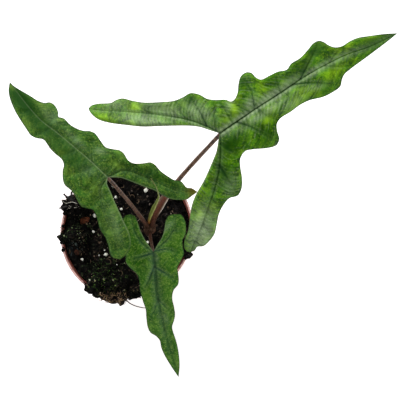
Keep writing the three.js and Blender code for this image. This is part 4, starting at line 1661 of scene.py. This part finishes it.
    def slab(self, patch: Patch) -> Skin:
        """Both faces of a strip and the thin wall along its margin.

        The lower face lies below the upper one by the thickness, which grows from the margin inward,
        at a vein, and at the rib toward the petiole.

        Args:
            patch: the strip.

        Returns:
            Its skin, open along the rib, where the next strip joins it.
        """
        up = self.surface(patch)
        share, from_margin = up["share"], self.from_margin(up["xy"])
        tones = self.tones(up["xy"], from_margin, patch.pale_margin * (1 - ease(share, 0.5, 0.95)))
        top = up["z"] + tones.pop("relief") * ease(from_margin, 0, 2.5)
        rib_part = (1 - share) * bell(up["across"], 1.5)
        thick = 0.55 + 0.35 * ease(from_margin, 0, 2) + 2.1 * rib_part + 0.5 * tones["vein"]
        rows, columns = len(patch.rib), patch.columns + 1
        size = rows * columns
        face = grid_triangles(rows, columns)
        rim = np.arange(rows) * columns + columns - 1
        wall = np.concatenate([
            np.stack([rim[:-1], rim[1:] + size, rim[1:]], -1),
            np.stack([rim[:-1], rim[:-1] + size, rim[1:] + size], -1),
        ])
        triangles = np.concatenate([face, face[:, ::-1] + size, wall])
        tones["ladder"] = 1 - 0.85 * ease(share, 0.15, 0.8)
        tones = {name: np.tile(values, 2) for name, values in tones.items()}
        tones["under"] = np.repeat([0.0, 0.85], size)
        x, y = np.tile(up["xy"], (2, 1)).T
        layout = np.tile(np.stack([up["rungs"], up["across"]], -1), (2, 1))
        skin = Skin(level_points(x, y, np.concatenate([top, top - thick])), triangles, tones, layout)
        return skin if patch.turn < 0 else skin.flipped()

    def build(self, finish: Material) -> None:
        """Makes the blade from its strips and sets it at its place.

        Args:
            finish: its material.
        """
        whole = merged(joined([self.slab(patch) for patch in self.patches()]))
        whole.points = turned(whole.points, self.heading) + self.base
        make_piece(self.node + "_tissue", whole, finish, [self.node])


@dataclass
class Petiole:
    """A leaf stalk from the crown to its blade; some have an open sheath low down.

    foot, leave and arrive are the first three corners of its curve. sheath is how far the sheath
    stands out, and the dark foot how far up the stalk is darker, as a share: a darker foot, and
    painted shade up most of the front stalk.
    """

    node: str
    blade: Blade
    foot: Triple
    leave: Triple
    arrive: Triple
    radii: Pair
    sheath: float = 0.0
    dark_foot_and_shade: float = 0.15
    seat: float = 2.2
    sink: float = 1.7
    sides: int = 72
    steps: int = 150
    widest_sheath: float = 1.9
    wings: Pair = (146, 38)

    def skin(self) -> Skin:
        """The stalk with its sheath.

        Its middle line is a cubic Bezier curve into the rib under the blade. The radius tapers and
        swells at the foot. Round the stalk it has two narrow peaks, one each side of straight up, for
        the sheath's wings, and a dip between them for its open trough; both come and go along it.

        Returns:
            The stalk, with the sheath's pale edge, partly a painted highlight, its inner side, and the
            darker foot, partly painted shade, as tones.
        """
        t = np.linspace(0, 1, self.steps + 1)[:, None]
        angle = angles(self.sides)
        left, right = np.radians(self.wings)
        knots = 1 + 0.035 * smooth_noise(level_points(40 * t, 0), 1.0, 61)
        radius = self.radii[0] + (self.radii[1] - self.radii[0]) * t + 0.7 * bell(t, 0.09)
        part = self.sheath * bell(t - 0.3, 0.16)
        wings = bell(angle - left, 0.22) + bell(angle - right, 0.22)
        trough = bell(angle - (left + right) / 2, 0.7)
        drop = self.seat * math.tan(math.radians(self.blade.tilt)) + self.sink
        top = self.blade.base + turned(np.array([self.seat, 0, -drop]), self.blade.heading)
        path = bezier([np.array(corner) for corner in (self.foot, self.leave, self.arrive, top)], t)
        share = np.clip(part / self.widest_sheath, 0, 1)
        # the sheath's pale margin, made bright on one wing as a painted highlight
        edge = share * (0.2 * bell(angle - right, 0.13) + 1.7 * bell(angle - left, 0.085))
        return tube(
            path, radius * knots + part * (1.35 * wings - 0.35 * trough), self.sides, inner=share * trough,
            # darker foot: darker skin, and on the front stalk painted shade most of the way up
            edge=np.clip(edge * ease(t, 0.16, 0.3), 0, 1), base=0.85 * bell(t, self.dark_foot_and_shade),
        )

    def build(self, finish: Material) -> None:
        """Makes the stalk."""
        make_piece(self.node + "_stalk", self.skin(), finish, [self.node])


@dataclass
class RolledLeaf:
    """The newest leaf, still rolled into a slim shoot with a thread-like tip."""

    path: Points = (
        (20.1, 6.6, 104), (21.4, 11.5, 127), (25.5, 20.7, 150), (28.9, 26, 171), (31.7, 30.4, 193),
        (32.2, 33, 208), (31.2, 37.6, 215), (26.6, 46, 222),
    )
    radii: Sequence[float] = (1.0, 1.35, 1.45, 1.7, 1.3, 0.95, 0.6, 0.35)
    sides: int = 40
    steps: int = 180

    def skin(self) -> Skin:
        """The shoot: a tube whose radius grows by a third once round and drops back at the seam, so
        that a rolled edge shows; the seam winds slowly round it, and slow noise swells it.

        Returns:
            The shoot, with its seam and its brown ends as tones.
        """
        t = np.linspace(0, 1, self.steps + 1)[:, None]
        radius = np.interp(t, np.linspace(0, 1, len(self.radii)), self.radii)
        swell = 1 + 0.14 * smooth_noise(level_points(14 * t, 0), 1.0, 71)
        wound = np.mod(angles(self.sides) - 2.2 - 1.8 * t, 2 * np.pi) / (2 * np.pi)
        curve = even_points(smooth_curve(self.path), self.steps)
        edge = ease(wound, 0.86, 0.97) * (t > 0.12)
        ends = np.maximum(0.95 * ease(0.3 - t, 0, 0.22), 0.3 * ease(t, 0.93, 1.0))
        return tube(curve, radius * swell * (0.74 + 0.3 * wound), self.sides, edge=edge, base=ends)

    def build(self) -> None:
        """Makes the rolled leaf."""
        finish = ShootSkin("young_rolled_leaf", 0.42, 0.4).material()
        make_piece("new_leaf_roll", self.skin(), finish, ["new_leaf"])


@dataclass
class Rootstock:
    """The brown crown over the mix, and below it the corm with six spreading roots.

    profile gives the corm's heights and radii. reach and turns give, for the corners of a root, the
    distance out, the height and a turn about the crown.
    """

    centre: Triple = (20.5, 2.4, 0)
    profile: Points = (
        (60, 3), (64, 8), (72, 10.5), (82, 9.5), (92, 7.8), (100, 6.4), (107, 5.2), (117, 3.8),
    )
    top: float = 111
    rounding: float = 5
    roots: int = 6
    reach: Points = ((5, 72), (15.6, 62), (26, 28))
    turns: Sequence[float] = (0, 12, -8)
    uneven_turn: float = 20
    uneven_depth: float = 6
    drift: Triple = (-7, -1, 0)
    root_radii: Pair = (1.9, 0.9)
    root_steps: int = 30

    def body(self) -> Skin:
        """The corm and crown: the profile carried round, ringed by old leaf scars, ribbed by noise
        that runs up and down, and rounded off at the top.

        Returns:
            The closed body.
        """
        height, reach = np.array(self.profile, float).T
        z = np.linspace(height[0], self.top, 70)[:, None]
        angle = angles(56)
        radius = np.interp(z, height, reach) * (1 - 0.26 * ease(z, 98, 108))
        scars = 0.35 * np.abs(np.sin(z / 4.2 * np.pi / 2)) * (1 - ease(z, 94, 101))
        radius = radius * (1 + 0.14 * smooth_noise(round_points(4, angle, z / 14), 0.9, 81)) - scars
        radius = radius * np.sqrt(np.clip((self.top + 0.1 - z) / self.rounding, 0, 1))
        return capped(round_points(radius, angle, z) + self.centre)

    def root(self, number: int) -> Skin:
        """One root: a quadratic Bezier curve from inside the corm, outward and then down in the mix.

        Args:
            number: its place round the corm.

        Returns:
            The closed root.
        """
        bearing = 360 * number / self.roots + self.uneven_turn * math.sin(2.4 * number)
        deeper = (0, 0, self.uneven_depth * math.cos(3 * number))
        corners = [
            turned(np.array([out, 0, z + lower]), bearing + turn) + self.centre
            for (out, z), turn, lower in zip(self.reach, self.turns, deeper)
        ]
        corners[-1] = corners[-1] + self.drift
        curve = bezier(corners, np.linspace(0, 1, self.root_steps + 1)[:, None])
        level = turned(np.array([0.0, 1.0, 0.0]), bearing)
        return tube(curve, np.linspace(*self.root_radii, self.root_steps + 1), 10, level)

    def build(self) -> None:
        """Makes the rootstock."""
        skins = [self.body(), *(self.root(k) for k in range(self.roots))]
        finish = FibrousBark("fibrous_corm_skin", 0.75, 0.2, "2c1c14", "5f4232").material()
        make_piece("rootstock_crown", joined(skins), finish, ["rootstock"])


# The three leaves; each blade's halves lie toward +y and toward -y of its own frame


LEFT_PLUS = Half(
    1, rib=((0, 0), (-2.5, 10.5), (-13, 19), (-26, 26), (-42, 33), (-54, 42.5)),
    fore=(
        (119, 0), (114.5, 5.5), (108, 10), (98, 14), (88, 16.5), (78, 18.5), (72.5, 19.5), (67, 18),
        (61, 14.5), (51.5, 16), (45, 16), (38, 15.5), (33.5, 17.5), (30.5, 22.5), (23, 29), (14, 29),
    ),
    lobe=(
        (7, 30.5), (-0.5, 32.5), (-6, 30), (-10, 27.5), (-16, 30), (-25, 35.5), (-32.5, 37.5), (-39.5, 41),
        (-45, 45), (-49, 45.5), (-54, 42.5),
    ),
    notch=(
        (0, 0), (-3.5, 4), (-9.5, 6.5), (-20, 11), (-32.5, 16), (-45, 21), (-51.5, 26), (-54.5, 32.5),
        (-55, 38), (-54, 42.5),
    ),
    look=RibLook(0.5, 0.1, 1.8, 0.3),
)
LEFT_MINUS = Half(
    -1, rib=((0, 0), (-6, -13.5), (-20, -20.5), (-35, -26), (-50, -32), (-62, -42.5)),
    fore=(
        (119, 0), (114.5, 0), (106.5, -1.5), (96, -4), (88.5, -5.5), (83, -8), (80, -11.5), (75, -12.5),
        (68.5, -10.5), (65.5, -8), (61, -10), (54, -10), (48.5, -11), (41.5, -14), (37.5, -17.5), (33, -19),
        (26, -18), (18.5, -17), (13, -20),
    ),
    lobe=(
        (8.5, -23), (4, -23.5), (-3, -22), (-8, -23.5), (-13.5, -29), (-17, -33.5), (-21, -34.5),
        (-28, -34), (-35.5, -35), (-41.5, -36.5), (-46, -39.5), (-53, -39), (-56.5, -41.5), (-62, -42.5),
    ),
    notch=(
        (0, 0), (-8, -7), (-15.5, -10.5), (-28, -15.5), (-36, -19), (-43.5, -20.5), (-50, -23),
        (-56, -27.5), (-60, -32), (-61, -37), (-62, -42.5),
    ),
    look=RibLook(0.7, 0.35, 1.8, 0.25),
)
LEFT = Blade(
    "blade_left", (-9.9, 47.2, 205), 136.4, 6, 300, 100,
    midrib=((119, 0), (97.5, 3), (75.5, 4.5), (57, 2.5), (37, 1), (17.5, 0), (0, 0)),
    look=RibLook(0.9, 0.0, 2.4, 0.12, 0.5),
    halves=(LEFT_PLUS, LEFT_MINUS),
    veins=(
        Vein(((17.5, 0.5), (24, -6), (31, -14.5)), 0.5), Vein(((3, 0), (3.5, -6), (4, -12)), 0.35),
        Vein(((42, 1.5), (43, -5), (46, -11)), 0.35), Vein(((66.5, 3.5), (68.5, -4), (73, -10)), 0.3),
        Vein(((64.5, 3.5), (65.5, 9), (68, 16)), 0.45), Vein(((35, 1.5), (37, 7.5), (40, 13)), 0.4),
        Vein(((15, 0.5), (18, 10), (24, 20)), 0.45), Vein(((3.5, 1), (4, 9), (4, 20)), 0.35),
        Vein(((-9, -14.5), (-9.5, -19), (-9.5, -23)), 0.4), Vein(((-23, -21), (-23, -27), (-21, -33)), 0.4),
        Vein(((-7, 14), (-8, 20), (-7, 26)), 0.35), Vein(((-28, 27), (-29, 31), (-31, 36)), 0.35),
        Vein(((88, 4), (90, 9), (93, 13)), 0.3),
    ),
    lights=(
        Spot((82, 14.5), (7, 3), 10, 0.55), Spot((115, 2.5), (4, 2), 10, 0.6),
        Spot((42, 11.5), (4, 2), 30, 0.5), Spot((26.5, 18), (4, 4), 30, 0.4),
        Spot((0.5, 14.5), (6, 7), 30, 0.35), Spot((1, -13.5), (6, 5), 0, 0.35),
        Spot((84, -5), (8, 2.5), 5, 0.5), Spot((57, 11), (5, 2), 10, 0.4),
        Spot((-30, 30), (14, 5), -30, 0.25),
    ),
    # spots where a painted sheen lies
    sheen_spots=(
        Spot((19.5, -11.5), (5, 2.5), 30, 0.5), Spot((70, -3), (8, 5), 0, 0.35),
        Spot((41, -4), (12, 3), 0, 0.3), Spot((-30, 22.5), (18, 4), 150, 0.25),
        Spot((16, 7), (8, 4), 30, 0.25),
    ),
    browns=(Spot((-59, -41), (6, 5), 0, 0.75),),
    shades=(
        Spot((100, 2), (18, 9), 0, 0.9), Spot((62, 7), (40, 7), 0, 0.75), Spot((30, 10), (14, 6), 20, 0.4),
        Spot((-30, -30), (22, 5), 20, 0.4), Spot((50, -11), (16, 4), 0, 0.35),
        Spot((-20, 30), (22, 6), 150, 0.3),
    ),
    notch_line=0.4, haze=0.06, blotch=0.2,
)

RIGHT_PLUS = Half(
    1, rib=((0, 0), (-7, 11), (-16, 21.5), (-33, 36), (-52, 50), (-68.5, 61.5), (-79.5, 70)),
    fore=(
        (171.5, 0), (161, 4.5), (148.5, 9), (137.5, 12.5), (129.5, 13), (122, 12.5), (116, 14.5),
        (112.5, 18.5), (110.8, 22.5), (108, 25.5), (103, 26), (94.5, 23), (86.5, 20.5), (77.5, 20),
        (71.5, 17.5), (65, 19.5), (57, 20), (49.5, 20.5), (47, 24), (46, 29), (43, 31.5), (37.5, 31),
        (32.5, 26.5), (28, 20.5), (23, 17), (20, 17), (17, 20.5), (10, 24.5),
    ),
    lobe=(
        (5, 28.5), (1.5, 34.5), (-4, 39), (-10.5, 39), (-18, 40), (-26.5, 44), (-39, 51), (-46.5, 57.5),
        (-52, 63), (-57, 64.5), (-61.5, 64.5), (-71, 69.5), (-76.5, 71), (-79.5, 70),
    ),
    notch=(
        (0, 0), (-6, 6.5), (-11, 12), (-17, 16.5), (-29, 23.5), (-39, 29), (-49, 34.5), (-60.5, 43),
        (-71, 51.5), (-77, 58.5), (-79.5, 66), (-79.5, 70),
    ),
    look=RibLook(0.7, 0.7, 2.4, 0.6),
)
RIGHT_MINUS = Half(
    -1, rib=(
        (0, 0), (-6, -11.5), (-15, -24.5), (-26, -36), (-38.5, -46.5), (-49.5, -56), (-61.5, -64.5),
        (-67, -69),
    ),
    fore=(
        (171.5, 0), (162.5, -1.5), (139.5, -4.5), (118, -7), (111, -8.5), (107.5, -11), (103.5, -15),
        (96, -16), (86.5, -15.5), (75, -12.5), (66.5, -12), (57.5, -13), (47.5, -13.5), (42.5, -16),
        (40, -21), (38.5, -27), (34.5, -30), (28, -29), (15.5, -23.5), (10, -22),
    ),
    lobe=(
        (4, -25), (1, -30), (-2.5, -39), (-6.5, -45.5), (-12, -49), (-19, -47.5), (-26, -50), (-32, -54),
        (-36.5, -59), (-43, -66), (-49.5, -69), (-55.5, -70), (-60, -68), (-63, -69.5), (-67, -69),
    ),
    notch=(
        (0, 0), (-4, -4.5), (-9, -10.5), (-18.5, -18), (-29, -25.5), (-41, -32.5), (-47.5, -38),
        (-52.5, -44), (-59.5, -53), (-66, -58.5), (-69, -63), (-69, -66.5), (-67, -69),
    ),
    look=RibLook(0.8, 0.5, 2.2, 0.3),
)
RIGHT = Blade(
    "blade_right", (81.8, 80.4, 262), 30.2, 8, 385, 112,
    midrib=(
        (171.5, 0), (143.5, 1.5), (120.5, 5), (96.5, 6), (77, 5.5), (57.5, 4), (38.5, 3), (19, 1.5), (0, 0),
    ),
    look=RibLook(0.65, 0.85, 2.9, 0.9),
    halves=(RIGHT_PLUS, RIGHT_MINUS),
    veins=(
        Vein(((33.5, 3.5), (38, 16), (38.5, 30)), 0.75), Vein(((12.5, 1.5), (12.5, 12), (13.5, 21)), 0.55),
        Vein(((29, 3), (24, 9.5), (20, 16)), 0.6), Vein(((78, 6), (90, 13.5), (106, 24)), 0.9),
        Vein(((58, 4.5), (60, 13), (64, 19)), 0.5), Vein(((106, 6), (114, 9.5), (121, 12)), 0.5),
        Vein(((16, 1), (24.5, -9), (35, -27)), 0.95), Vein(((70, 5), (83.5, -1), (102, -13)), 0.9),
        Vein(((35.5, 2.5), (38, -5), (44, -13)), 0.55), Vein(((60, 4), (62.5, -3.5), (64, -11)), 0.4),
        Vein(((101, 5.5), (110, 0), (120, -5)), 0.45), Vein(((-6, 10), (-5, 22), (-5.5, 37)), 0.8),
        Vein(((-2, 3), (4, 16), (11, 22)), 0.5), Vein(((-17, 22.5), (-18, 31), (-16.5, 39)), 0.5),
        Vein(((-39, 41), (-43, 48), (-45, 54)), 0.45), Vein(((-13, -21), (-12.5, -34), (-12, -47)), 0.8),
        Vein(((-4, -7), (0, -16), (4, -24)), 0.5), Vein(((-31, -40), (-30, -46), (-28, -51)), 0.45),
        Vein(((-47, -54), (-46, -60), (-45, -66)), 0.4),
    ),
    lights=(
        Spot((19, 10), (7, 3), 75, 0.95), Spot((37.5, -9.5), (5, 3), 20, 0.85),
        Spot((47, 15), (3, 6), 10, 0.6), Spot((117.5, 11), (4, 2.5), 40, 0.75),
        Spot((126, 9), (5, 2.5), 40, 0.75), Spot((-45, -46.5), (5, 3), 40, 0.6),
        Spot((-34.5, -47), (4, 3), 0, 0.65), Spot((-46.5, 51), (5, 4), 0, 0.75),
        Spot((-72, 56.5), (7, 4), 150, 0.45), Spot((65, -8), (3, 5), 0, 0.65),
        Spot((72.5, -4.5), (3, 5), 0, 0.6), Spot((106, -2), (8, 4), 10, 0.6),
        Spot((10, 6), (5, 4), 40, 0.5), Spot((25, 17), (4, 3), 0, 0.5), Spot((90, 14), (5, 2), 40, 0.4),
        Spot((-2, -15), (5, 5), 0, 0.3), Spot((45, -5), (6, 4), 0, 0.4),
    ),
    # spots where a painted sheen lies
    sheen_spots=(
        Spot((-6, 22), (14, 7), 120, 0.5), Spot((50, 6), (20, 3), 3, 0.55), Spot((33, 8), (7, 4), 20, 0.6),
        Spot((-50, -58), (17, 9), 45, 0.74), Spot((17, 15), (6, 3), 40, 0.35),
        Spot((-28, 38), (18, 6), 140, 0.5), Spot((-45, 38), (22, 6), 140, 0.45),
        Spot((-13, -38), (8, 6), 60, 0.35), Spot((68, 8), (12, 3), 5, 0.45),
        Spot((38, -4), (26, 3), 4, 0.4), Spot((-60, 60), (10, 5), 140, 0.3),
        Spot((60, -8), (12, 4), 0, 0.25), Spot((85, -6), (10, 3), -15, 0.25),
    ),
    shades=(
        Spot((4, -12), (12, 8), 0, 0.85), Spot((-15, -30), (13, 8), 55, 0.55),
        Spot((-6, 35), (9, 5), 0, 0.6), Spot((104, 20), (13, 5), 0, 0.7), Spot((148, 2), (22, 7), 0, 0.65),
        Spot((80, 14), (14, 6), 10, 0.5), Spot((30, -20), (14, 6), 60, 0.5),
        Spot((55, 16), (10, 4), 0, 0.4), Spot((90, -12), (14, 4), 0, 0.45), Spot((35, 26), (8, 6), 0, 0.6),
        Spot((50, -8), (12, 4), 0, 0.4), Spot((-30, 44), (14, 4), 140, 0.5),
    ),
    haze=0.04, blotch=0.34, vein_shade=0.5,
)

FRONT_PLUS = Half(
    1, rib=((0, 0), (-4.5, 8), (-10.5, 16), (-18.5, 22), (-28.5, 24)),
    fore=(
        (115.5, 0), (105, 3), (93, 4.5), (81.5, 4.5), (72.5, 3.5), (68, 3.5), (63, 6), (58, 8), (51, 8.5),
        (42.5, 8.5), (36, 11), (32, 15.5), (28, 17), (22, 17.5), (17, 18), (11.5, 22),
    ),
    lobe=(
        (6, 25.5), (-0.5, 25.5), (-5.5, 26.5), (-9, 29.5), (-14, 31), (-21, 31.5), (-27, 29), (-28.5, 24),
    ),
    notch=((0, 0), (-6, 5), (-11, 9.5), (-16.5, 12.5), (-23.5, 15), (-28, 18.5), (-28.5, 24)),
    look=RibLook(0.7, 0.55, 1.9, 0.3),
)
FRONT_MINUS = Half(
    -1, rib=((0, 0), (-5.5, -5.5), (-14, -10.5), (-24, -13), (-35, -13)),
    fore=(
        (115.5, 0), (105, -4), (93, -8), (85, -9.5), (78, -9.5), (73.5, -12), (70, -16), (65, -17.5),
        (56, -17), (48, -16), (40.5, -17), (31, -17.5), (20, -16.5), (15.5, -18), (10, -22.5),
    ),
    lobe=(
        (4.5, -25), (-0.5, -24), (-7.5, -22.5), (-16, -22.5), (-25, -23), (-31.5, -21), (-35, -17.5),
        (-35, -13),
    ),
    notch=((0, 0), (-7, -3), (-13, -5.5), (-20.5, -7.5), (-27.5, -8.5), (-33, -10), (-35, -13)),
    look=RibLook(0.7, 0.55, 1.9, 0.3),
)
FRONT = Blade(
    "blade_front", (26.4, -15.9, 166), -79.6, 9, 270, 110,
    midrib=((115.5, 0), (88.5, -2.5), (68.5, -3.5), (50, -4), (33, -3.5), (15.5, -1.5), (0, 0)),
    look=RibLook(1.8, 0.6, 3.4, 0.34, 0.0),
    halves=(FRONT_PLUS, FRONT_MINUS),
    veins=(
        Vein(((1, -0.5), (2, -9.5), (2.5, -21)), 1.2), Vein(((-0.5, 0.5), (0, 12), (5, 21)), 0.95),
        Vein(((13.5, -1), (20, 6.5), (27, 14.5)), 1.2), Vein(((13, -2), (22.5, -8), (31.5, -15)), 1.2),
        Vein(((41, -4), (49, 1), (56, 6)), 0.7), Vein(((42, -4), (52, -10), (61, -15.5)), 0.7),
        Vein(((-14, 18.5), (-15, 23), (-15, 28)), 0.5), Vein(((68, -3.5), (75, -6), (82, -9)), 0.5),
    ),
    lights=(
        Spot((33.5, -12), (6, 3), 0, 0.22), Spot((-8, 18), (9, 5), 120, 0.2),
        Spot((11, -8), (5, 4), 0, 0.12), Spot((104, 1), (8, 2), 0, 0.25), Spot((7, 10), (6, 5), 30, 0.15),
        Spot((30, 6), (8, 4), 20, 0.14), Spot((52, 2), (6, 3), 10, 0.18), Spot((40, -11), (5, 3), 10, 0.24),
    ),
    # spots where a painted sheen lies
    sheen_spots=(
        Spot((-19, 16), (7, 3), 120, 0.4), Spot((5.5, 1.5), (5, 2), 0, 0.4),
        Spot((59, -1), (6, 3), 10, 0.3),
    ),
    notch_line=0.4, haze=0.04, blotch=0.06,
)

# leaf tissues by age; the colour given after lime is that of the painted sheen
OLD = LeafTissue(
    "old_leaf_tissue", 0.62, 0.06, deep="1b430d", green="3a6a20", lime="8fb043", wax="97ae88",
    rib="93a67c", ladder_share=0.08, cell_share=0.46, net_share=0.5,
)
GROWN = LeafTissue(
    "grown_leaf_tissue", 0.55, 0.06, deep="164102", green="488308", lime="a6d822", wax="c8dab4",
    ladder_share=0.13, cell_share=0.32, net_share=0.6, sheen_least=0.76,
)
YOUNG = LeafTissue(
    "young_leaf_tissue", 0.62, 0.06, deep="26590f", green="376d12", lime="95bb50", wax="a6bb98",
    rib="93a67c", vein="3a5846", ladder_share=0.06, cell_share=0.5, net_share=0.6,
)

# the last number of the left and front stalks is how far up the darker foot reaches; on the front stalk it
# is painted shade
PETIOLES = (
    Petiole(
        "petiole_left", LEFT, (19.3, 3.3, 104), (15.2, 12.4, 131), (3.6, 30.3, 170), (2.0, 1.4), 0.3, 0.5
    ),
    Petiole(
        "petiole_right", RIGHT, (22.3, 4.1, 104), (28.6, 28.8, 146), (55, 52.5, 205), (2.3, 1.6), 1.9
    ),
    Petiole(
        "petiole_front", FRONT, (21, -0.6, 104), (21.6, -4.2, 125), (24.6, -11.4, 150), (1.6, 1.3), 0.2, 1.4
    ),
)


@dataclass
class Studio:
    """A white paper floor, two soft boxes and a dim dome, and the camera straight above."""

    camera_at: Triple = (66.4, 28.5, 1205)
    frame_width: float = 362.8
    frame_height: float = 105
    floor_reach: float = 4000
    aim: Triple = (0.06, 0.03, 0.15)
    horizon: float = 0.8
    zenith: float = 0.06

    def floor(self) -> None:
        """A wide paper floor under the pot."""
        reach = self.floor_reach * MM
        corners = [(x * reach, y * reach, 0) for x, y in ((-1, -1), (1, -1), (1, 1), (-1, 1))]
        mesh = bpy.data.meshes.new("paper_floor")
        mesh.from_pydata(corners, [], [(0, 1, 2), (0, 2, 3)])
        mesh.materials.append(WhitePaper("white_paper", 0.9, 0.1).material())
        placed("paper_floor", mesh)

    def soft_box(self, name: str, at: Triple, size: float, power: float) -> None:
        """A square soft light that faces the plant.

        Args:
            name: its name.
            at: its place in metres.
            size: its side in metres.
            power: its power in watts.
        """
        light = bpy.data.lights.new(name, "AREA")
        light.size = size
        light.energy = power
        box = placed(name, light)
        box.location = at
        box.rotation_euler = (Vector(self.aim) - Vector(at)).to_track_quat("-Z", "Y").to_euler()

    def dome(self) -> None:
        """Pale light from all round that dims toward the top, so that level leaves keep their depth."""
        world = bpy.data.worlds.new("studio")
        world.use_nodes = True
        tree = world.node_tree
        tree.nodes.clear()
        way = add(tree, "TexCoord").outputs["Generated"]
        up = add(tree, "SeparateXYZ", {"Vector": way}).outputs["Z"]
        span = {"Value": up, "To Min": self.horizon, "To Max": self.zenith}
        strength = add(tree, "MapRange", span).outputs[0]
        glow = add(tree, "Background", {"Color": "ffffff", "Strength": strength})
        add(tree, "OutputWorld", {"Surface": glow.outputs[0]})
        bpy.context.scene.world = world

    def camera(self) -> None:
        """Straight down, at the distance and angle of view that fit the leaves and the lip."""
        data = bpy.data.cameras.new("camera")
        data.sensor_width = 36
        data.lens = data.sensor_width * (self.camera_at[2] - self.frame_height) / self.frame_width
        data.clip_start, data.clip_end = 0.01, 20
        camera = placed("camera", data)
        camera.location = [MM * c for c in self.camera_at]
        bpy.context.scene.camera = camera

    def build(self) -> None:
        """Sets up floor, lights, dome, camera and the plain colour transform."""
        self.floor()
        self.soft_box("soft_box_back_left", (-0.8, 1.4, 1.2), 1.0, 34)
        self.soft_box("soft_box_right", (1.5, -0.5, 1.1), 1.2, 12)
        self.dome()
        self.camera()
        bpy.context.scene.view_settings.view_transform = "Standard"


def main() -> None:
    """Builds the studio and every piece of the plant and the pot."""
    logging.basicConfig(level=logging.INFO, format="%(name)s %(message)s")
    Studio().build()
    pot = Pot()
    pot.build()
    mix = PottingMix(pot)
    mix.build()
    across = (0.4, 1, 1)
    bark = FibrousBark("pine_bark", 0.8, 0.2, "2e160d", "7c432a", across).material()
    weathered = FibrousBark("weathered_bark", 0.85, 0.15, "150b08", "4a2a1d", across).material()
    BarkChip("bark_chip_1", (-39.1, 10.4), 25, (4.8, 3.5, 1.7)).build(mix, bark)
    BarkChip("bark_chip_2", (-46.3, -18.6), -50, (3.8, 2.4, 1.5)).build(mix, weathered)
    Rootstock().build()
    for blade, tissue in ((LEFT, OLD), (RIGHT, GROWN), (FRONT, YOUNG)):
        blade.build(tissue.material())
    stalk = StalkSkin("leaf_stalk_skin", 0.45, 0.22).material()
    for petiole in PETIOLES:
        petiole.build(stalk)
    RolledLeaf().build()


if __name__ == "__main__":
    main()
